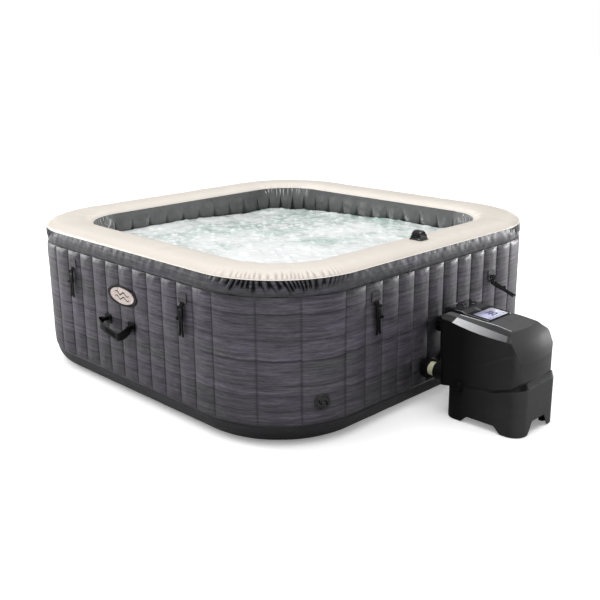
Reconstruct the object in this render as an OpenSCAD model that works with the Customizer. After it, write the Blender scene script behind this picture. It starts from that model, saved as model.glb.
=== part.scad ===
// Inflatable hot tub with its heater and pump unit.
// Millimetres, +Z up. The origin is on the floor under the middle of the tub,
// +X points to the pump unit and -Y to the side with the badge and the front handle.

/* [Tub] */
// Half the width of the tub at the seam under the rim
half_w = 944; // [920:1:960]
// Radius of the tub's outer corners at that seam
corner_r = 417; // [400:1:430]
// Radius of the corners of the water space
inner_r = 260; // [240:1:280]
// Width of the rim, from the outer seam to the inner wall
rim_w = 200; // [180:1:210]
// Height of the top of the rim
rim_top_z = 710; // [700:1:730]
// How far the rim stands above its two seams
rim_crown = 26; // [20:1:30]
// Height of the plain band under the rim
band_h = 68; // [50:1:80]
// Radius of the rounded bottom edge
base_r = 92; // [80:1:100]
// Thickness of each skin
skin = 4; // [3:0.5:5]

/* [Wall flutes] */
// Spacing of the vertical welds on the straight walls
flute_pitch = 102.5; // [100:0.5:104]
// How far each flute bulges past its welds
flute_crown = 11; // [8:1:14]
// Thickness of the webs inside the wall
web_t = 2; // [1.5:0.5:3]

/* [Fittings] */
// Height of the two water ports
water_port_z = 172; // [165:1:180]
// Distance of the inlet port from the tub's middle plane, to the -Y side
inlet_y = 70; // [66:1:74]
// Distance of the outlet port from the tub's middle plane, to the +Y side
outlet_y = 110; // [106:1:114]
// Height of the air port
air_port_z = 350; // [340:1:360]
// Bore radius of the water ports
water_bore_r = 25; // [22:1:26]
// Bore radius of the air port
air_bore_r = 16; // [14:1:17]

/* [Clips and handles] */
// Distance of each clip from the middle of its wall
clip_offset = 410; // [400:1:420]
// Height of the pivot bar of a clip
clip_z = 525; // [500:1:540]
// Height of the pivot bar of the clip beside the pump unit
clip_low_z = 455; // [440:1:525]
// Angle at which the clip beside the pump unit stands out from the wall
clip_tilt = 70; // [0:1:70]
// Distance between a handle's two brackets
handle_w = 205; // [180:1:220]
// Reach of a handle from its pins
handle_reach = 52; // [45:1:60]
// Width of a handle's band
handle_band = 35; // [28:1:36]
// Angle of a handle below the horizontal
handle_droop = 45; // [0:1:60]
// Height of the handle pins
handle_z = 355; // [340:1:370]

/* [Pump unit] */
// Rear face of the pump unit's lower shell
base_x0 = 1095; // [1090:1:1100]
// Rear face of the pump unit's cover, which overhangs the lower shell
cover_x0 = 1050; // [1046:1:1054]
// Front face of the pump unit's lower shell
unit_x1 = 1462; // [1458:1:1470]
// Width of the pump unit's lower shell
unit_w = 294; // [290:1:300]
// Middle of the pump unit across the tub
unit_y = 20; // [18:1:22]
// Corner radius of the pump unit
unit_r = 60; // [50:1:65]
// Height of the pump unit's top at the back
unit_top = 447; // [444:1:450]
// How far the lower shell stands proud of the cover
ledge = 8; // [5:1:10]
// Wall thickness of the pump unit's shells
shell_t = 4; // [3:0.5:5]

/* [Hidden] */
$fn = 64;

eps = 0.2;                                // gap between pieces that lie against each other
fit = 0.05;                               // radial clearance of a turning fit
corner_c = half_w - corner_r;             // centre of the outer corner arcs
inner_half = half_w - rim_w;              // half the width of the water space
inner_c = inner_half - inner_r;           // centre of the inner corner arcs
seam_z = rim_top_z - rim_crown;           // height of the rim's seams
flute_z1 = seam_z - band_h;               // top of the fluted wall
crown_x = half_w + flute_crown;           // outermost line of the straight walls
floor_t = 8;                              // thickness of the floor liner
air_r = 34;                               // radius of the bubble channel at the foot of the wall

// Welds of the flutes: angles round a corner, and distances along a quarter of the outline
corner_welds = [6.5, 33, 57, 83.5];
quarter = 2 * corner_c + corner_r * PI / 2;
straight_welds = [for (k = [0:4]) (k + 0.5) * flute_pitch];
welds = concat([-flute_pitch / 2], straight_welds,
    [for (a = corner_welds) corner_c + corner_r * a * PI / 180],
    [for (k = [4:-1:0]) quarter - straight_welds[k]]);

// ---------------------------------------------------------------- outlines

// Point of the tub's outline at distance s along a quarter, moved out by off
function outline_arc(a, off) =
    [corner_c + (corner_r + off) * cos(a), corner_c + (corner_r + off) * sin(a)];
function outline_point(s, off) =
    s < corner_c ? [half_w + off, s] :
    s > quarter - corner_c ? [quarter - s, half_w + off] :
    outline_arc((s - corner_c) * 180 / (PI * corner_r), off);

function turned(p, a) = [p[0] * cos(a) - p[1] * sin(a), p[0] * sin(a) + p[1] * cos(a)];

flute_steps = 6;
function flute_outline() = [
    for (q = [0:3]) for (i = [0:len(welds) - 2]) for (j = [0:flute_steps - 1])
        let (t = j / flute_steps, s = welds[i] + (welds[i + 1] - welds[i]) * t)
        turned(outline_point(s, flute_crown * 4 * t * (1 - t)), 90 * q)];

module rounded_square(half, r) {
    union() {
        square([2 * half, 2 * (half - r)], center = true);
        square([2 * (half - r), 2 * half], center = true);
        for (x = [-1, 1]) for (y = [-1, 1])
            translate([x * (half - r), y * (half - r)]) circle(r = r, $fn = 128);
    }
}

// Sweeps a profile round a square of half width half with corners of radius r.
// The profile's x is its distance outside that square, and its y is the height.
module ring(half, r) {
    for (q = [0:3]) rotate([0, 0, 90 * q]) {
        translate([half - r, half - r, 0])
            rotate_extrude(angle = 90, $fn = 128) translate([r, 0]) children();
        rotate([90, 0, 0])
            linear_extrude(2 * (half - r), center = true) translate([half, 0]) children();
    }
}

// Quarter circle arc points, from angle a0 to a1 round c
function arc(c, r, a0, a1, n) =
    [for (i = [0:n]) let (a = a0 + (a1 - a0) * i / n) [c[0] + r * cos(a), c[1] + r * sin(a)]];

// Local frame on a wall: x is out of the wall, y along it, z up. side 0 is +X, 3 is -Y.
module on_wall(side, along) {
    rotate([0, 0, 90 * side]) translate([crown_x + eps, along, 0]) children();
}

module cyl_x(x0, x1, r, y = 0, z = 0) {
    translate([x0, y, z]) rotate([0, 90, 0]) cylinder(h = x1 - x0, r = r);
}

module cyl_y(y0, y1, r, x = 0, z = 0) {
    translate([x, y1, z]) rotate([90, 0, 0]) cylinder(h = y1 - y0, r = r);
}

module tube_x(x0, x1, r_out, r_in, y = 0, z = 0) {
    difference() {
        cyl_x(x0, x1, r_out, y, z);
        cyl_x(x0 - 1, x1 + 1, r_in, y, z);
    }
}

// ---------------------------------------------------------------- tub walls

port_hole_r = water_bore_r + 5.2;
air_hole_r = air_bore_r + 4.2;
valve_r = 31;
valve_angle = -22;
valve_z = 185;
drain_z = 130;
drain_hole_r = 18.2;

module port_holes(extra = 0) {
    cyl_x(700, 1000, port_hole_r + extra, -inlet_y, water_port_z);
    cyl_x(700, 1000, port_hole_r + extra, outlet_y, water_port_z);
    cyl_x(700, 1000, air_hole_r + extra, unit_y, air_port_z);
    cyl_x(-1000, -700, drain_hole_r + extra, 0, drain_z);
}

module at_valve() {
    translate([corner_c, -corner_c, valve_z]) rotate([0, 0, valve_angle]) children();
}

module outer_wall() {
    color([0.33, 0.32, 0.36]) difference() {
        translate([0, 0, base_r]) linear_extrude(flute_z1 - base_r) difference() {
            polygon(flute_outline());
            rounded_square(half_w - skin, corner_r - skin);
        }
        port_holes();
        at_valve() cyl_x(380, 460, valve_r - 5.8);
    }
}

module upper_band() {
    color([0.28, 0.28, 0.3]) ring(half_w, corner_r)
        translate([-skin, flute_z1]) square([skin, band_h]);
}

rim_edge = 60;                            // width over which the rim rolls down to each seam
module rim_top() {
    outer = concat([[-skin, seam_z]], [for (i = [0:6]) let (a = 15 * i)
        [-rim_edge + rim_edge * cos(a), seam_z + rim_crown * sin(a)]],
        [[-rim_edge, rim_top_z - skin]], [for (i = [5:-1:1]) let (a = 15 * i)
        [-rim_edge + (rim_edge - skin) * cos(a), seam_z + (rim_crown - skin) * sin(a)]]);
    color([0.93, 0.9, 0.85]) union() {
        ring(half_w, corner_r) polygon(outer);
        ring(inner_half, inner_r) mirror([1, 0]) polygon(outer);
        translate([0, 0, rim_top_z - skin]) linear_extrude(skin) difference() {
            rounded_square(half_w - rim_edge, corner_r - rim_edge);
            rounded_square(inner_half + rim_edge, inner_r + rim_edge);
        }
    }
}

module base_band() {
    color([0.26, 0.26, 0.28]) ring(half_w, corner_r)
        polygon(concat(arc([-base_r, base_r], base_r, 0, -90, 10),
            arc([-base_r, base_r], base_r - skin, -90, 0, 10)));
}

module inner_wall() {
    color([0.3, 0.31, 0.33]) difference() {
        ring(inner_half, inner_r)
            translate([0, skin + eps]) square([skin, seam_z - skin - eps]);
        port_holes();
    }
}

module floor_liner() {
    color([0.34, 0.36, 0.4]) translate([0, 0, skin + eps]) linear_extrude(floor_t)
        rounded_square(inner_half - eps, inner_r - eps);
}

module base_sheet() {
    color([0.24, 0.24, 0.26]) linear_extrude(skin)
        rounded_square(half_w - base_r - eps, corner_r - base_r - eps);
}

module wall_webs() {
    web_z0 = base_r + 8;
    web_h = flute_z1 - web_z0 - 8;
    web_in = inner_half + skin + 1;
    web_out = half_w - skin - 1;
    corner_in = 240;
    color([0.85, 0.85, 0.82]) difference() {
        for (q = [0:3]) rotate([0, 0, 90 * q]) {
            for (s = straight_welds) for (side = [-1, 1])
                translate([web_in, side * s - web_t / 2, web_z0])
                    cube([web_out - web_in, web_t, web_h]);
            for (a = corner_welds) translate([corner_c, corner_c, web_z0]) rotate([0, 0, a])
                translate([corner_in, -web_t / 2, 0])
                    cube([corner_r - skin - 1 - corner_in, web_t, web_h]);
        }
        port_holes(4);
    }
}

// Bubble channel at the foot of the inner wall, and the riser that feeds it
riser_r = 24;
module air_channel() {
    foot_z = skin + eps + floor_t + eps;
    riser_x = inner_half - eps;
    riser_top = air_port_z + 30;
    color([0.36, 0.37, 0.4]) difference() {
        union() {
            ring(inner_half - eps, inner_r - eps) difference() {
                polygon(concat([[0, foot_z]], arc([0, foot_z], air_r, 90, 180, 8)));
                polygon(concat([[-3, foot_z + 3]],
                    arc([-3, foot_z + 3], air_r - 7, 90, 180, 8)));
            }
            translate([riser_x, unit_y, foot_z]) difference() {
                cylinder(h = riser_top - foot_z, r = riser_r);
                translate([0, -50, -1]) cube([100, 100, 500]);
            }
        }
        translate([riser_x - 3, unit_y, foot_z + 4]) difference() {
            cylinder(h = riser_top - foot_z - 8, r = riser_r - 6);
            translate([0, -50, -1]) cube([100, 100, 500]);
        }
        cyl_x(riser_x - 5, riser_x + 5, air_bore_r - 2, unit_y, air_port_z);
        cyl_y(unit_y - 30, unit_y + 30, 8, riser_x - 14, foot_z + 14);
        for (q = [0:3]) rotate([0, 0, 90 * q]) for (k = [-4:4])
            translate([inner_half - air_r / 2 - 4, k * flute_pitch, foot_z + air_r / 2])
                cylinder(h = air_r, r = 2);
    }
}

// ---------------------------------------------------------------- trim on the tub

badge_w = 220;
badge_h = 90;
badge_t = 3;
module badge() {
    color([0.87, 0.82, 0.78]) on_wall(3, -20) translate([0, 0, 483]) rotate([90, 0, 90])
        linear_extrude(badge_t)
            polygon([for (i = [0:47]) [badge_w / 2 * cos(7.5 * i), badge_h / 2 * sin(7.5 * i)]]);
}

cradle_l = 66;
cradle_w = 62;
cradle_h = 38;
module panel_cradle() {
    foot_h = 7;
    wall_in = 6;
    r_dome = 32;
    color([0.08, 0.08, 0.09]) translate([inner_half + rim_w / 2, 0, rim_top_z + eps]) union() {
        linear_extrude(foot_h) union() {
            square([cradle_l - 24, cradle_w], center = true);
            square([cradle_l, cradle_w - 24], center = true);
            for (x = [-1, 1]) for (y = [-1, 1])
                translate([x * (cradle_l / 2 - 12), y * (cradle_w / 2 - 12)]) circle(r = 12);
        }
        intersection() {
            translate([-cradle_l / 2 + wall_in, -cradle_w / 2 + wall_in, foot_h])
                cube([cradle_l - 2 * wall_in, cradle_w - 2 * wall_in, cradle_h - foot_h]);
            cyl_x(-cradle_l, cradle_l, r_dome, 0, cradle_h - r_dome);
        }
    }
}

valve_face = corner_r + 16;               // distance of the valve's front from the corner centre
module air_valve_body() {
    color([0.1, 0.1, 0.11]) at_valve() union() {
        difference() {
            cyl_x(corner_r + flute_crown + eps, valve_face, valve_r);
            cyl_x(corner_r + 5, valve_face + 1, valve_r - 5);
        }
        difference() {
            cyl_x(corner_r - 20, corner_r + flute_crown + eps + 1, valve_r - 6);
            cyl_x(corner_r - 21, valve_face + 1, valve_r - 14);
        }
    }
}

valve_hinge_z = -valve_r + 2;
module air_valve_cap() {
    x0 = corner_r + flute_crown + eps + 1.6;
    color([0.13, 0.13, 0.14]) at_valve() union() {
        cyl_x(x0, valve_face + 4, valve_r - 6);
        translate([valve_face + 1, -6, valve_hinge_z]) cube([3, 12, 9]);
        cyl_y(-6, 6, 1.5, valve_face + 2.5, valve_hinge_z);
        cyl_x(valve_face + 3, valve_face + 7, 8);
    }
}

module drain_body() {
    color([0.12, 0.12, 0.13]) rotate([0, 0, 180]) union() {
        tube_x(inner_half - 8, crown_x + 14, 18, 13, 0, drain_z);
        tube_x(inner_half - 8, inner_half - 1, 30, 13, 0, drain_z);
        tube_x(crown_x + 1, crown_x + 5, 30, 13, 0, drain_z);
    }
}

module drain_cap() {
    color([0.16, 0.16, 0.17]) rotate([0, 0, 180]) difference() {
        cyl_x(crown_x + 5 + eps, crown_x + 20, 23, 0, drain_z);
        cyl_x(crown_x + 5, crown_x + 14 + eps, 18 + fit, 0, drain_z);
    }
}

// ---------------------------------------------------------------- cover clips

clip_x = 14;                              // distance of a clip's pivot from the wall
clip_bar_r = 2.5;
strap_w = 22;
clip_sides = [0, 0, 1, 1, 2, 2, 3, 3];    // wall of each clip
clip_signs = [-1, 1, -1, 1, -1, 1, -1, 1];
clip_tilts = [0, clip_tilt, 0, 0, 0, 0, 0, 0];
clip_zs = [clip_z, clip_low_z, clip_z, clip_z, clip_z, clip_z, clip_z, clip_z];
clip_hands = [1, 1, -1, -1, 1, 1, -1, -1];

module clip_straps() {
    color([0.1, 0.1, 0.11]) for (i = [0:7])
        on_wall(clip_sides[i], clip_signs[i] * clip_offset) translate([0, 0, clip_zs[i]])
            difference() {
                union() {
                    translate([0, -26, 14]) cube([2, 52, 44]);
                    translate([0, strap_w / 2, 0]) rotate([90, 0, 0]) linear_extrude(strap_w)
                        polygon([[1.5, 50], [4, 50], [4, 22], [clip_x + 3, 4], [clip_x - 4, 1],
                            [1.5, 18]]);
                    cyl_y(-strap_w / 2, strap_w / 2, clip_bar_r + 3, clip_x, 0);
                }
                cyl_y(-50, 50, clip_bar_r + fit, clip_x, 0);
            }
}

// A buckle half that hangs from its strap: a bar, a frame, a body and two prongs
module clip(i) {
    arm_y = strap_w / 2 + 0.6;
    arm_w = 5;
    color([0.07, 0.07, 0.08]) on_wall(clip_sides[i], clip_signs[i] * clip_offset)
        translate([clip_x, 0, clip_zs[i]]) rotate([0, -clip_tilts[i], 0]) union() {
            cyl_y(-arm_y - arm_w, arm_y + arm_w, clip_bar_r);
            for (s = [-1, 1]) translate([-3.5, s * (arm_y + arm_w / 2) - arm_w / 2, -26])
                cube([7, arm_w, 30]);
            translate([-3.5, -arm_y - arm_w, -56]) cube([7, 2 * (arm_y + arm_w), 34]);
            translate([0, clip_hands[i] * (arm_y + arm_w + 5), -50]) cyl_y(-6, 6, 7);
            for (s = [-1, 1]) translate([-2.5, s * 8 - 4, -122]) cube([5, 8, 68]);
            for (s = [-1, 1]) translate([-2.5, s * 10 - 5, -122]) cube([5, 10, 10]);
        }
}

// ---------------------------------------------------------------- handles

pin_x = 24;                               // distance of a handle's pins from the wall
pin_r = 4;
handle_t = 4;
handle_along = -52;

module at_handle(side) {
    on_wall(side, handle_along) translate([pin_x, 0, handle_z]) children();
}

module handle_brackets() {
    lug_w = 10;
    color([0.09, 0.09, 0.1]) for (side = [1, 3]) at_handle(side) for (s = [-1, 1]) union() {
        translate([-pin_x, s * (handle_w / 2 - 14) - 26, -22]) cube([2, 52, 44]);
        translate([-pin_x, s * (handle_w / 2 - 8.5) - lug_w / 2, -9])
            cube([pin_x + 6, lug_w, 18]);
        translate([0, s * (handle_w / 2 + 0.5), 0]) cyl_y(-5, 5, pin_r);
    }
}

module handle_outline(r_out, grow) {
    half = handle_w / 2 + grow;
    union() {
        translate([-9, -half]) square([handle_reach - r_out + 9 + grow, 2 * half]);
        translate([0, -half + r_out]) square([handle_reach + grow, 2 * (half - r_out)]);
        for (s = [-1, 1])
            translate([handle_reach + grow - r_out, s * (half - r_out)]) circle(r = r_out);
    }
}

// A band bent into a bow, with a pin hole through each leg
module handle(side) {
    color([0.07, 0.07, 0.08]) at_handle(side) rotate([0, handle_droop, 0]) difference() {
        translate([0, 0, -handle_band / 2]) linear_extrude(handle_band) difference() {
            handle_outline(30, handle_t);
            translate([-20, 0]) handle_outline(26, 0);
            handle_outline(26, 0);
        }
        cyl_y(-200, 200, pin_r + fit);
        for (s = [-1, 1]) translate([-20, -150, s * 22 - 12]) cube([14, 300, 24]);
    }
}

// ---------------------------------------------------------------- ports and fittings

thread_r = water_bore_r + 7;
spigot_r = water_bore_r + 5;
spigot_flange_r = water_bore_r + 11;
nut_r = 44;
port_face = crown_x + 17;                 // end of the tub's threaded port

// A port through both walls: a tube, an inner flange and an outer threaded stub
module wall_port(y, z, bore) {
    color([0.14, 0.14, 0.15]) union() {
        tube_x(inner_half - 6, port_face, bore + 5, bore, y, z);
        tube_x(inner_half - 6, inner_half - 2 - eps, bore + 15, bore, y, z);
        tube_x(crown_x + 2 + eps, port_face, bore + 7, bore, y, z);
    }
}

module inlet_fitting() {
    wall_port(-inlet_y, water_port_z, water_bore_r);
}

module outlet_fitting() {
    wall_port(outlet_y, water_port_z, water_bore_r);
}

module air_fitting() {
    color([0.14, 0.14, 0.15]) union() {
        tube_x(inner_half + eps, port_face, air_bore_r + 4, air_bore_r, unit_y, air_port_z);
        tube_x(crown_x + 2 + eps, port_face, air_bore_r + 7, air_bore_r, unit_y, air_port_z);
    }
}

module wall_gaskets() {
    color([0.05, 0.05, 0.05]) for (y = [-inlet_y, outlet_y]) {
        tube_x(inner_half - 2, inner_half - eps, water_bore_r + 15, port_hole_r, y, water_port_z);
        tube_x(crown_x + eps, crown_x + 2, water_bore_r + 7, port_hole_r, y, water_port_z);
    }
}

// Union nut: turns on the port's thread and holds the flange of the pump's spigot
module union_nut(y, z, bore, r) {
    x0 = crown_x + 4;
    grips = 12;
    color([0.07, 0.07, 0.08]) difference() {
        union() {
            cyl_x(x0, port_face + 16, r, y, z);
            for (i = [0:grips - 1]) translate([x0, y, z]) rotate([360 / grips * i, 0, 0])
                translate([0, -3, r - 3]) cube([port_face + 16 - x0, 6, 6]);
        }
        cyl_x(x0 - 1, port_face + 1 + eps, bore + 7 + fit, y, z);
        cyl_x(port_face + eps, port_face + 8, bore + 11.5, y, z);
        cyl_x(port_face, port_face + 20, bore + 5 + fit, y, z);
    }
}

module inlet_nut() {
    union_nut(-inlet_y, water_port_z, water_bore_r, nut_r);
}

module outlet_nut() {
    union_nut(outlet_y, water_port_z, water_bore_r, nut_r);
}

module air_nut() {
    union_nut(unit_y, air_port_z, air_bore_r, 33);
}

volute_x0 = 1150;
heater_x0 = 1112;
heater_x1 = 1330;
blower_x = 1250;
blower_r = 60;
transfer_z = 245;
transfer_x = 1350;
transfer_r = 12;

module spigot(x1, y, z, bore) {
    tube_x(port_face + 2 * eps, x1, bore + 5, bore, y, z);
    tube_x(port_face + 2 * eps, port_face + 7, bore + 11, bore, y, z);
}

module transfer_run(r, over) {
    union() {
        translate([volute_x0 + 20, -inlet_y, 225 + eps - over])
            cylinder(h = transfer_z - 225 - eps + over, r = r);
        cyl_x(volute_x0 + 20, transfer_x, r, -inlet_y, transfer_z);
        cyl_y(-inlet_y, outlet_y, r, transfer_x, transfer_z);
        translate([transfer_x, outlet_y, water_port_z])
            cylinder(h = transfer_z - water_port_z, r = r);
        cyl_x(heater_x1 + eps - over, transfer_x, r, outlet_y, water_port_z);
        for (p = [[volute_x0 + 20, -inlet_y, transfer_z], [transfer_x, -inlet_y, transfer_z],
            [transfer_x, outlet_y, transfer_z], [transfer_x, outlet_y, water_port_z]])
            translate(p) sphere(r = r);
    }
}

module water_pipes() {
    color([0.85, 0.83, 0.72]) union() {
        spigot(volute_x0 - eps, -inlet_y, water_port_z, water_bore_r);
        spigot(heater_x0 - eps, outlet_y, water_port_z, water_bore_r);
        spigot(blower_x - blower_r + 3, unit_y, air_port_z, air_bore_r);
        difference() {
            transfer_run(transfer_r, 0);
            transfer_run(transfer_r - 3, 1);
        }
    }
}

module return_grille() {
    x1 = inner_half - 6 - eps;
    color([0.6, 0.62, 0.64]) difference() {
        cyl_x(x1 - 16, x1, 42, outlet_y, water_port_z);
        cyl_x(x1 - 13, x1 + 1, 38, outlet_y, water_port_z);
        for (k = [-3:3]) translate([x1 - 20, outlet_y + 10 * k - 2.5, water_port_z - 28])
            cube([10, 5, 56]);
    }
}

filter_r = 60;
filter_x0 = 655;
filter_x1 = inner_half - 6 - eps;
module filter_housing() {
    color([0.7, 0.71, 0.73]) difference() {
        cyl_x(filter_x0, filter_x1, filter_r, -inlet_y, water_port_z);
        cyl_x(filter_x0 - 1, filter_x1 - 4, filter_r - 4, -inlet_y, water_port_z);
        cyl_x(filter_x1 - 5, filter_x1 + 1, water_bore_r, -inlet_y, water_port_z);
        for (i = [0:7]) translate([filter_x0 + 22, -inlet_y, water_port_z])
            rotate([45 * i + 22.5, 0, 0]) translate([0, -8, 40]) cube([46, 16, 40]);
    }
}

module filter_cartridge() {
    pleats = 36;
    x0 = filter_x0 + 14;
    length = filter_x1 - 5 - x0;
    color([0.92, 0.92, 0.9]) translate([x0, -inlet_y, water_port_z]) rotate([0, 90, 0])
        difference() {
            union() {
                linear_extrude(length) polygon([for (i = [0:2 * pleats - 1])
                    let (r = i % 2 == 0 ? 48 : 42, a = 180 / pleats * i) [r * cos(a), r * sin(a)]]);
                cylinder(h = 5, r = 50);
                translate([0, 0, length - 5]) cylinder(h = 5, r = 50);
            }
            translate([0, 0, -1]) cylinder(h = length + 2, r = 22);
        }
}

module filter_cap() {
    color([0.62, 0.63, 0.65]) union() {
        cyl_x(filter_x0 - 9, filter_x0 - eps, filter_r + 2, -inlet_y, water_port_z);
        tube_x(filter_x0 - 1, filter_x0 + 10, filter_r - 4 - fit, filter_r - 8,
            -inlet_y, water_port_z);
        translate([filter_x0 - 14, -inlet_y - 30, water_port_z - 4]) cube([6, 60, 8]);
    }
}

// ---------------------------------------------------------------- pump unit shells

base_half = unit_w / 2;
cover_half = base_half - ledge;
cover_x1 = unit_x1 - ledge;
ledge_slope = 0.203;
ledge_z0 = 138;                           // height of the ledge at the back of the lower shell
deck_z = 58;                              // underside of the lower shell's floor
deck_t = 4;
top_slope = 0.0415;
plug_x = 1167;
plug_z = 148;
plug_boss_r = 26;
post_r = 5;
post_top = 401;                           // top of the cover's posts, inside its shoulder
post_xs = [1125, 1400];

function ledge_z(x) = ledge_z0 + ledge_slope * (x - base_x0);
function top_z(x) = unit_top - top_slope * (x - 1085);

module plan(x0, x1, half, r) {
    union() {
        translate([x0 + r, unit_y - half]) square([x1 - x0 - 2 * r, 2 * half]);
        translate([x0, unit_y - half + r]) square([x1 - x0, 2 * (half - r)]);
        for (x = [x0 + r, x1 - r]) for (y = [unit_y - half + r, unit_y + half - r])
            translate([x, y]) circle(r = r);
    }
}

module side_extrude(half) {
    translate([0, unit_y + half, 0]) rotate([90, 0, 0]) linear_extrude(2 * half) children();
}

module base_solid(t, z0, over) {
    intersection() {
        translate([0, 0, z0]) linear_extrude(400)
            plan(base_x0 + t, unit_x1 - t, base_half - t, unit_r - t);
        side_extrude(base_half) polygon([[1000, -1], [1500, -1],
            [1500, ledge_z(1500) + over], [1000, ledge_z(1000) + over]]);
    }
}

post_inset = base_half - shell_t - 15.1;
post_ys = [unit_y - post_inset, unit_y + post_inset];

module pump_base() {
    skirt_z = 2;
    side_arch_h = 30;
    front_arch_h = 55;
    rim_in = ledge + shell_t;
    color([0.14, 0.14, 0.15]) difference() {
        union() {
            difference() {
                base_solid(0, skirt_z, 0);
                base_solid(shell_t, deck_z + deck_t, -shell_t);
                base_solid(rim_in, deck_z + deck_t, 10);
                intersection() {
                    base_solid(shell_t, 0, 0);
                    translate([1000, -300, -1]) cube([600, 600, deck_z + 1]);
                }
            }
            cyl_y(unit_y - base_half - 4, unit_y - base_half + shell_t + 6, plug_boss_r,
                plug_x, plug_z);
            for (x = [1135, 1420]) for (y = [-1, 1])
                translate([x, unit_y + y * 107, 6 + eps]) cylinder(h = deck_z - 5, r = 14);
        }
        side_extrude(base_half + 20) polygon([[1180, -1], [1196, side_arch_h - 8],
            [1225, side_arch_h], [1335, side_arch_h], [1364, side_arch_h - 8], [1380, -1]]);
        translate([1350, 0, 0]) rotate([90, 0, 90]) linear_extrude(200)
            polygon([[-60, -1], [-46, front_arch_h - 15], [-26, front_arch_h],
                [66, front_arch_h], [86, front_arch_h - 15], [100, -1]]);
        cyl_y(unit_y - base_half - 10, unit_y - base_half + 20, 14 + fit, plug_x, plug_z);
        for (x = post_xs) for (y = post_ys) translate([x, y, 0]) {
            translate([0, 0, deck_z - 1]) cylinder(h = 10, r = 2.5);
            translate([0, 0, deck_z + deck_t + eps]) cylinder(h = 200, r = post_r + 0.4);
        }
        cyl_x(base_x0 - 5, base_x0 + 10, 9, unit_y + 60, 95);
    }
}

module cover_solid(t) {
    intersection() {
        translate([0, 0, 60]) linear_extrude(500)
            plan(cover_x0 + t, cover_x1 - t, cover_half - t, unit_r - t);
        side_extrude(cover_half) polygon([[900, ledge_z(900) + eps - t],
            [1600, ledge_z(1600) + eps - t], [1600, 330 - t], [cover_x1 - t / 2, 330],
            [1438 - t / 2, 372 - t / 2], [1415 - t / 3, 400 - t], [1380, 424 - t],
            [1345, top_z(1345) - t], [1085, top_z(1085) - t], [1062, 440 - t],
            [cover_x0 + t / 2, 424 - t], [900, 424 - t]]);
        translate([1000, 0, 0]) rotate([90, 0, 90]) linear_extrude(500) polygon([
            [unit_y - cover_half + t, 0], [unit_y - cover_half + t, 393],
            [unit_y - 116 + t / 2, 430 - t / 2], [unit_y - 92, 452 - t], [unit_y + 92, 452 - t],
            [unit_y + 116 - t / 2, 430 - t / 2], [unit_y + cover_half - t, 393],
            [unit_y + cover_half - t, 0]]);
    }
}

module pump_cover() {
    post_z0 = deck_z + deck_t + eps;
    color([0.13, 0.13, 0.14]) difference() {
        union() {
            difference() {
                cover_solid(0);
                difference() {
                    cover_solid(shell_t);
                    side_extrude(cover_half) polygon([[900, ledge_z(900) - 20],
                        [base_x0 + shell_t, ledge_z(base_x0) - 20],
                        [base_x0 + shell_t, ledge_z(base_x0 + shell_t) + shell_t],
                        [900, ledge_z(900) + shell_t]]);
                    for (x = [1110, 1190]) for (y = [-20, 60])
                        translate([x, y, 402 + eps]) cylinder(h = 60, r = 3);
                }
            }
            for (x = post_xs) for (y = post_ys)
                translate([x, y, post_z0]) cylinder(h = post_top - post_z0, r = post_r);
        }
        for (x = post_xs) for (y = post_ys)
            translate([x, y, post_z0 - 1]) cylinder(h = 36, r = 2 + fit);
        cyl_y(unit_y - base_half - 10, unit_y - base_half + 25, plug_boss_r + 0.4,
            plug_x, plug_z);
        for (y = [-inlet_y, outlet_y])
            cyl_x(cover_x0 - 5, base_x0 + 15, water_bore_r + 5.4, y, water_port_z);
        cyl_x(cover_x0 - 5, cover_x0 + 10, air_bore_r + 5.4, unit_y, air_port_z);
    }
}

module trim_bands() {
    y0 = cover_half + eps;
    color([0.45, 0.45, 0.47]) for (s = [-1, 1]) translate([1117, unit_y, 0])
        rotate([90, 0, 90]) linear_extrude(250)
            polygon([[s * y0, 394], [s * (116 + eps), 430.5], [s * (118.5 + eps), 431],
                [s * (y0 + 2.5), 394]]);
}

// ---------------------------------------------------------------- control panel

panel_x0 = 1032;
panel_x1 = 1262;
panel_half = 88;
dome_z = 460;
dome_x1 = 1128;
panel_top_z0 = 452;
panel_top_z1 = 446;
panel_flat_x = 1148;
button_xs = [1078, 1078, 1078, 1104, 1104];
button_ys = [-44, 20, 84, -12, 52];
button_l = 18;
button_w = 24;
button_gap = 0.3;
button_z0 = 456;
button_top = dome_z + 1.2;

module panel_top_slab(z0, z1) {
    side_extrude(100) polygon([[panel_flat_x, panel_top_z0 + z0], [panel_x1, panel_top_z1 + z0],
        [panel_x1, panel_top_z1 + z1], [panel_flat_x, panel_top_z0 + z1]]);
}

module control_panel() {
    color([0.05, 0.05, 0.06]) difference() {
        intersection() {
            translate([0, 0, 400]) linear_extrude(100) plan(panel_x0, panel_x1, panel_half, 22);
            side_extrude(panel_half) polygon([[panel_x0, top_z(panel_x0) + 2 * eps],
                [panel_x1, top_z(panel_x1) + 2 * eps], [panel_x1, panel_top_z1],
                [panel_flat_x, panel_top_z0], [dome_x1, dome_z], [1048, dome_z],
                [panel_x0 + 4, 456], [panel_x0, 452]]);
        }
        for (i = [0:4]) translate([button_xs[i] - button_l / 2 - button_gap,
            button_ys[i] - button_w / 2 - button_gap, button_z0 - 1.2])
            cube([button_l + 2 * button_gap, button_w + 2 * button_gap, 20]);
        intersection() {
            panel_top_slab(-1.6, 5);
            translate([1172 - eps, -48 - eps, 400]) cube([84 + 2 * eps, 132 + 2 * eps, 100]);
        }
    }
}

module panel_screen() {
    color([0.75, 0.76, 0.88]) intersection() {
        panel_top_slab(-1.6 + eps, 0);
        translate([1172, -48, 400]) cube([84, 132, 100]);
    }
}

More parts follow.
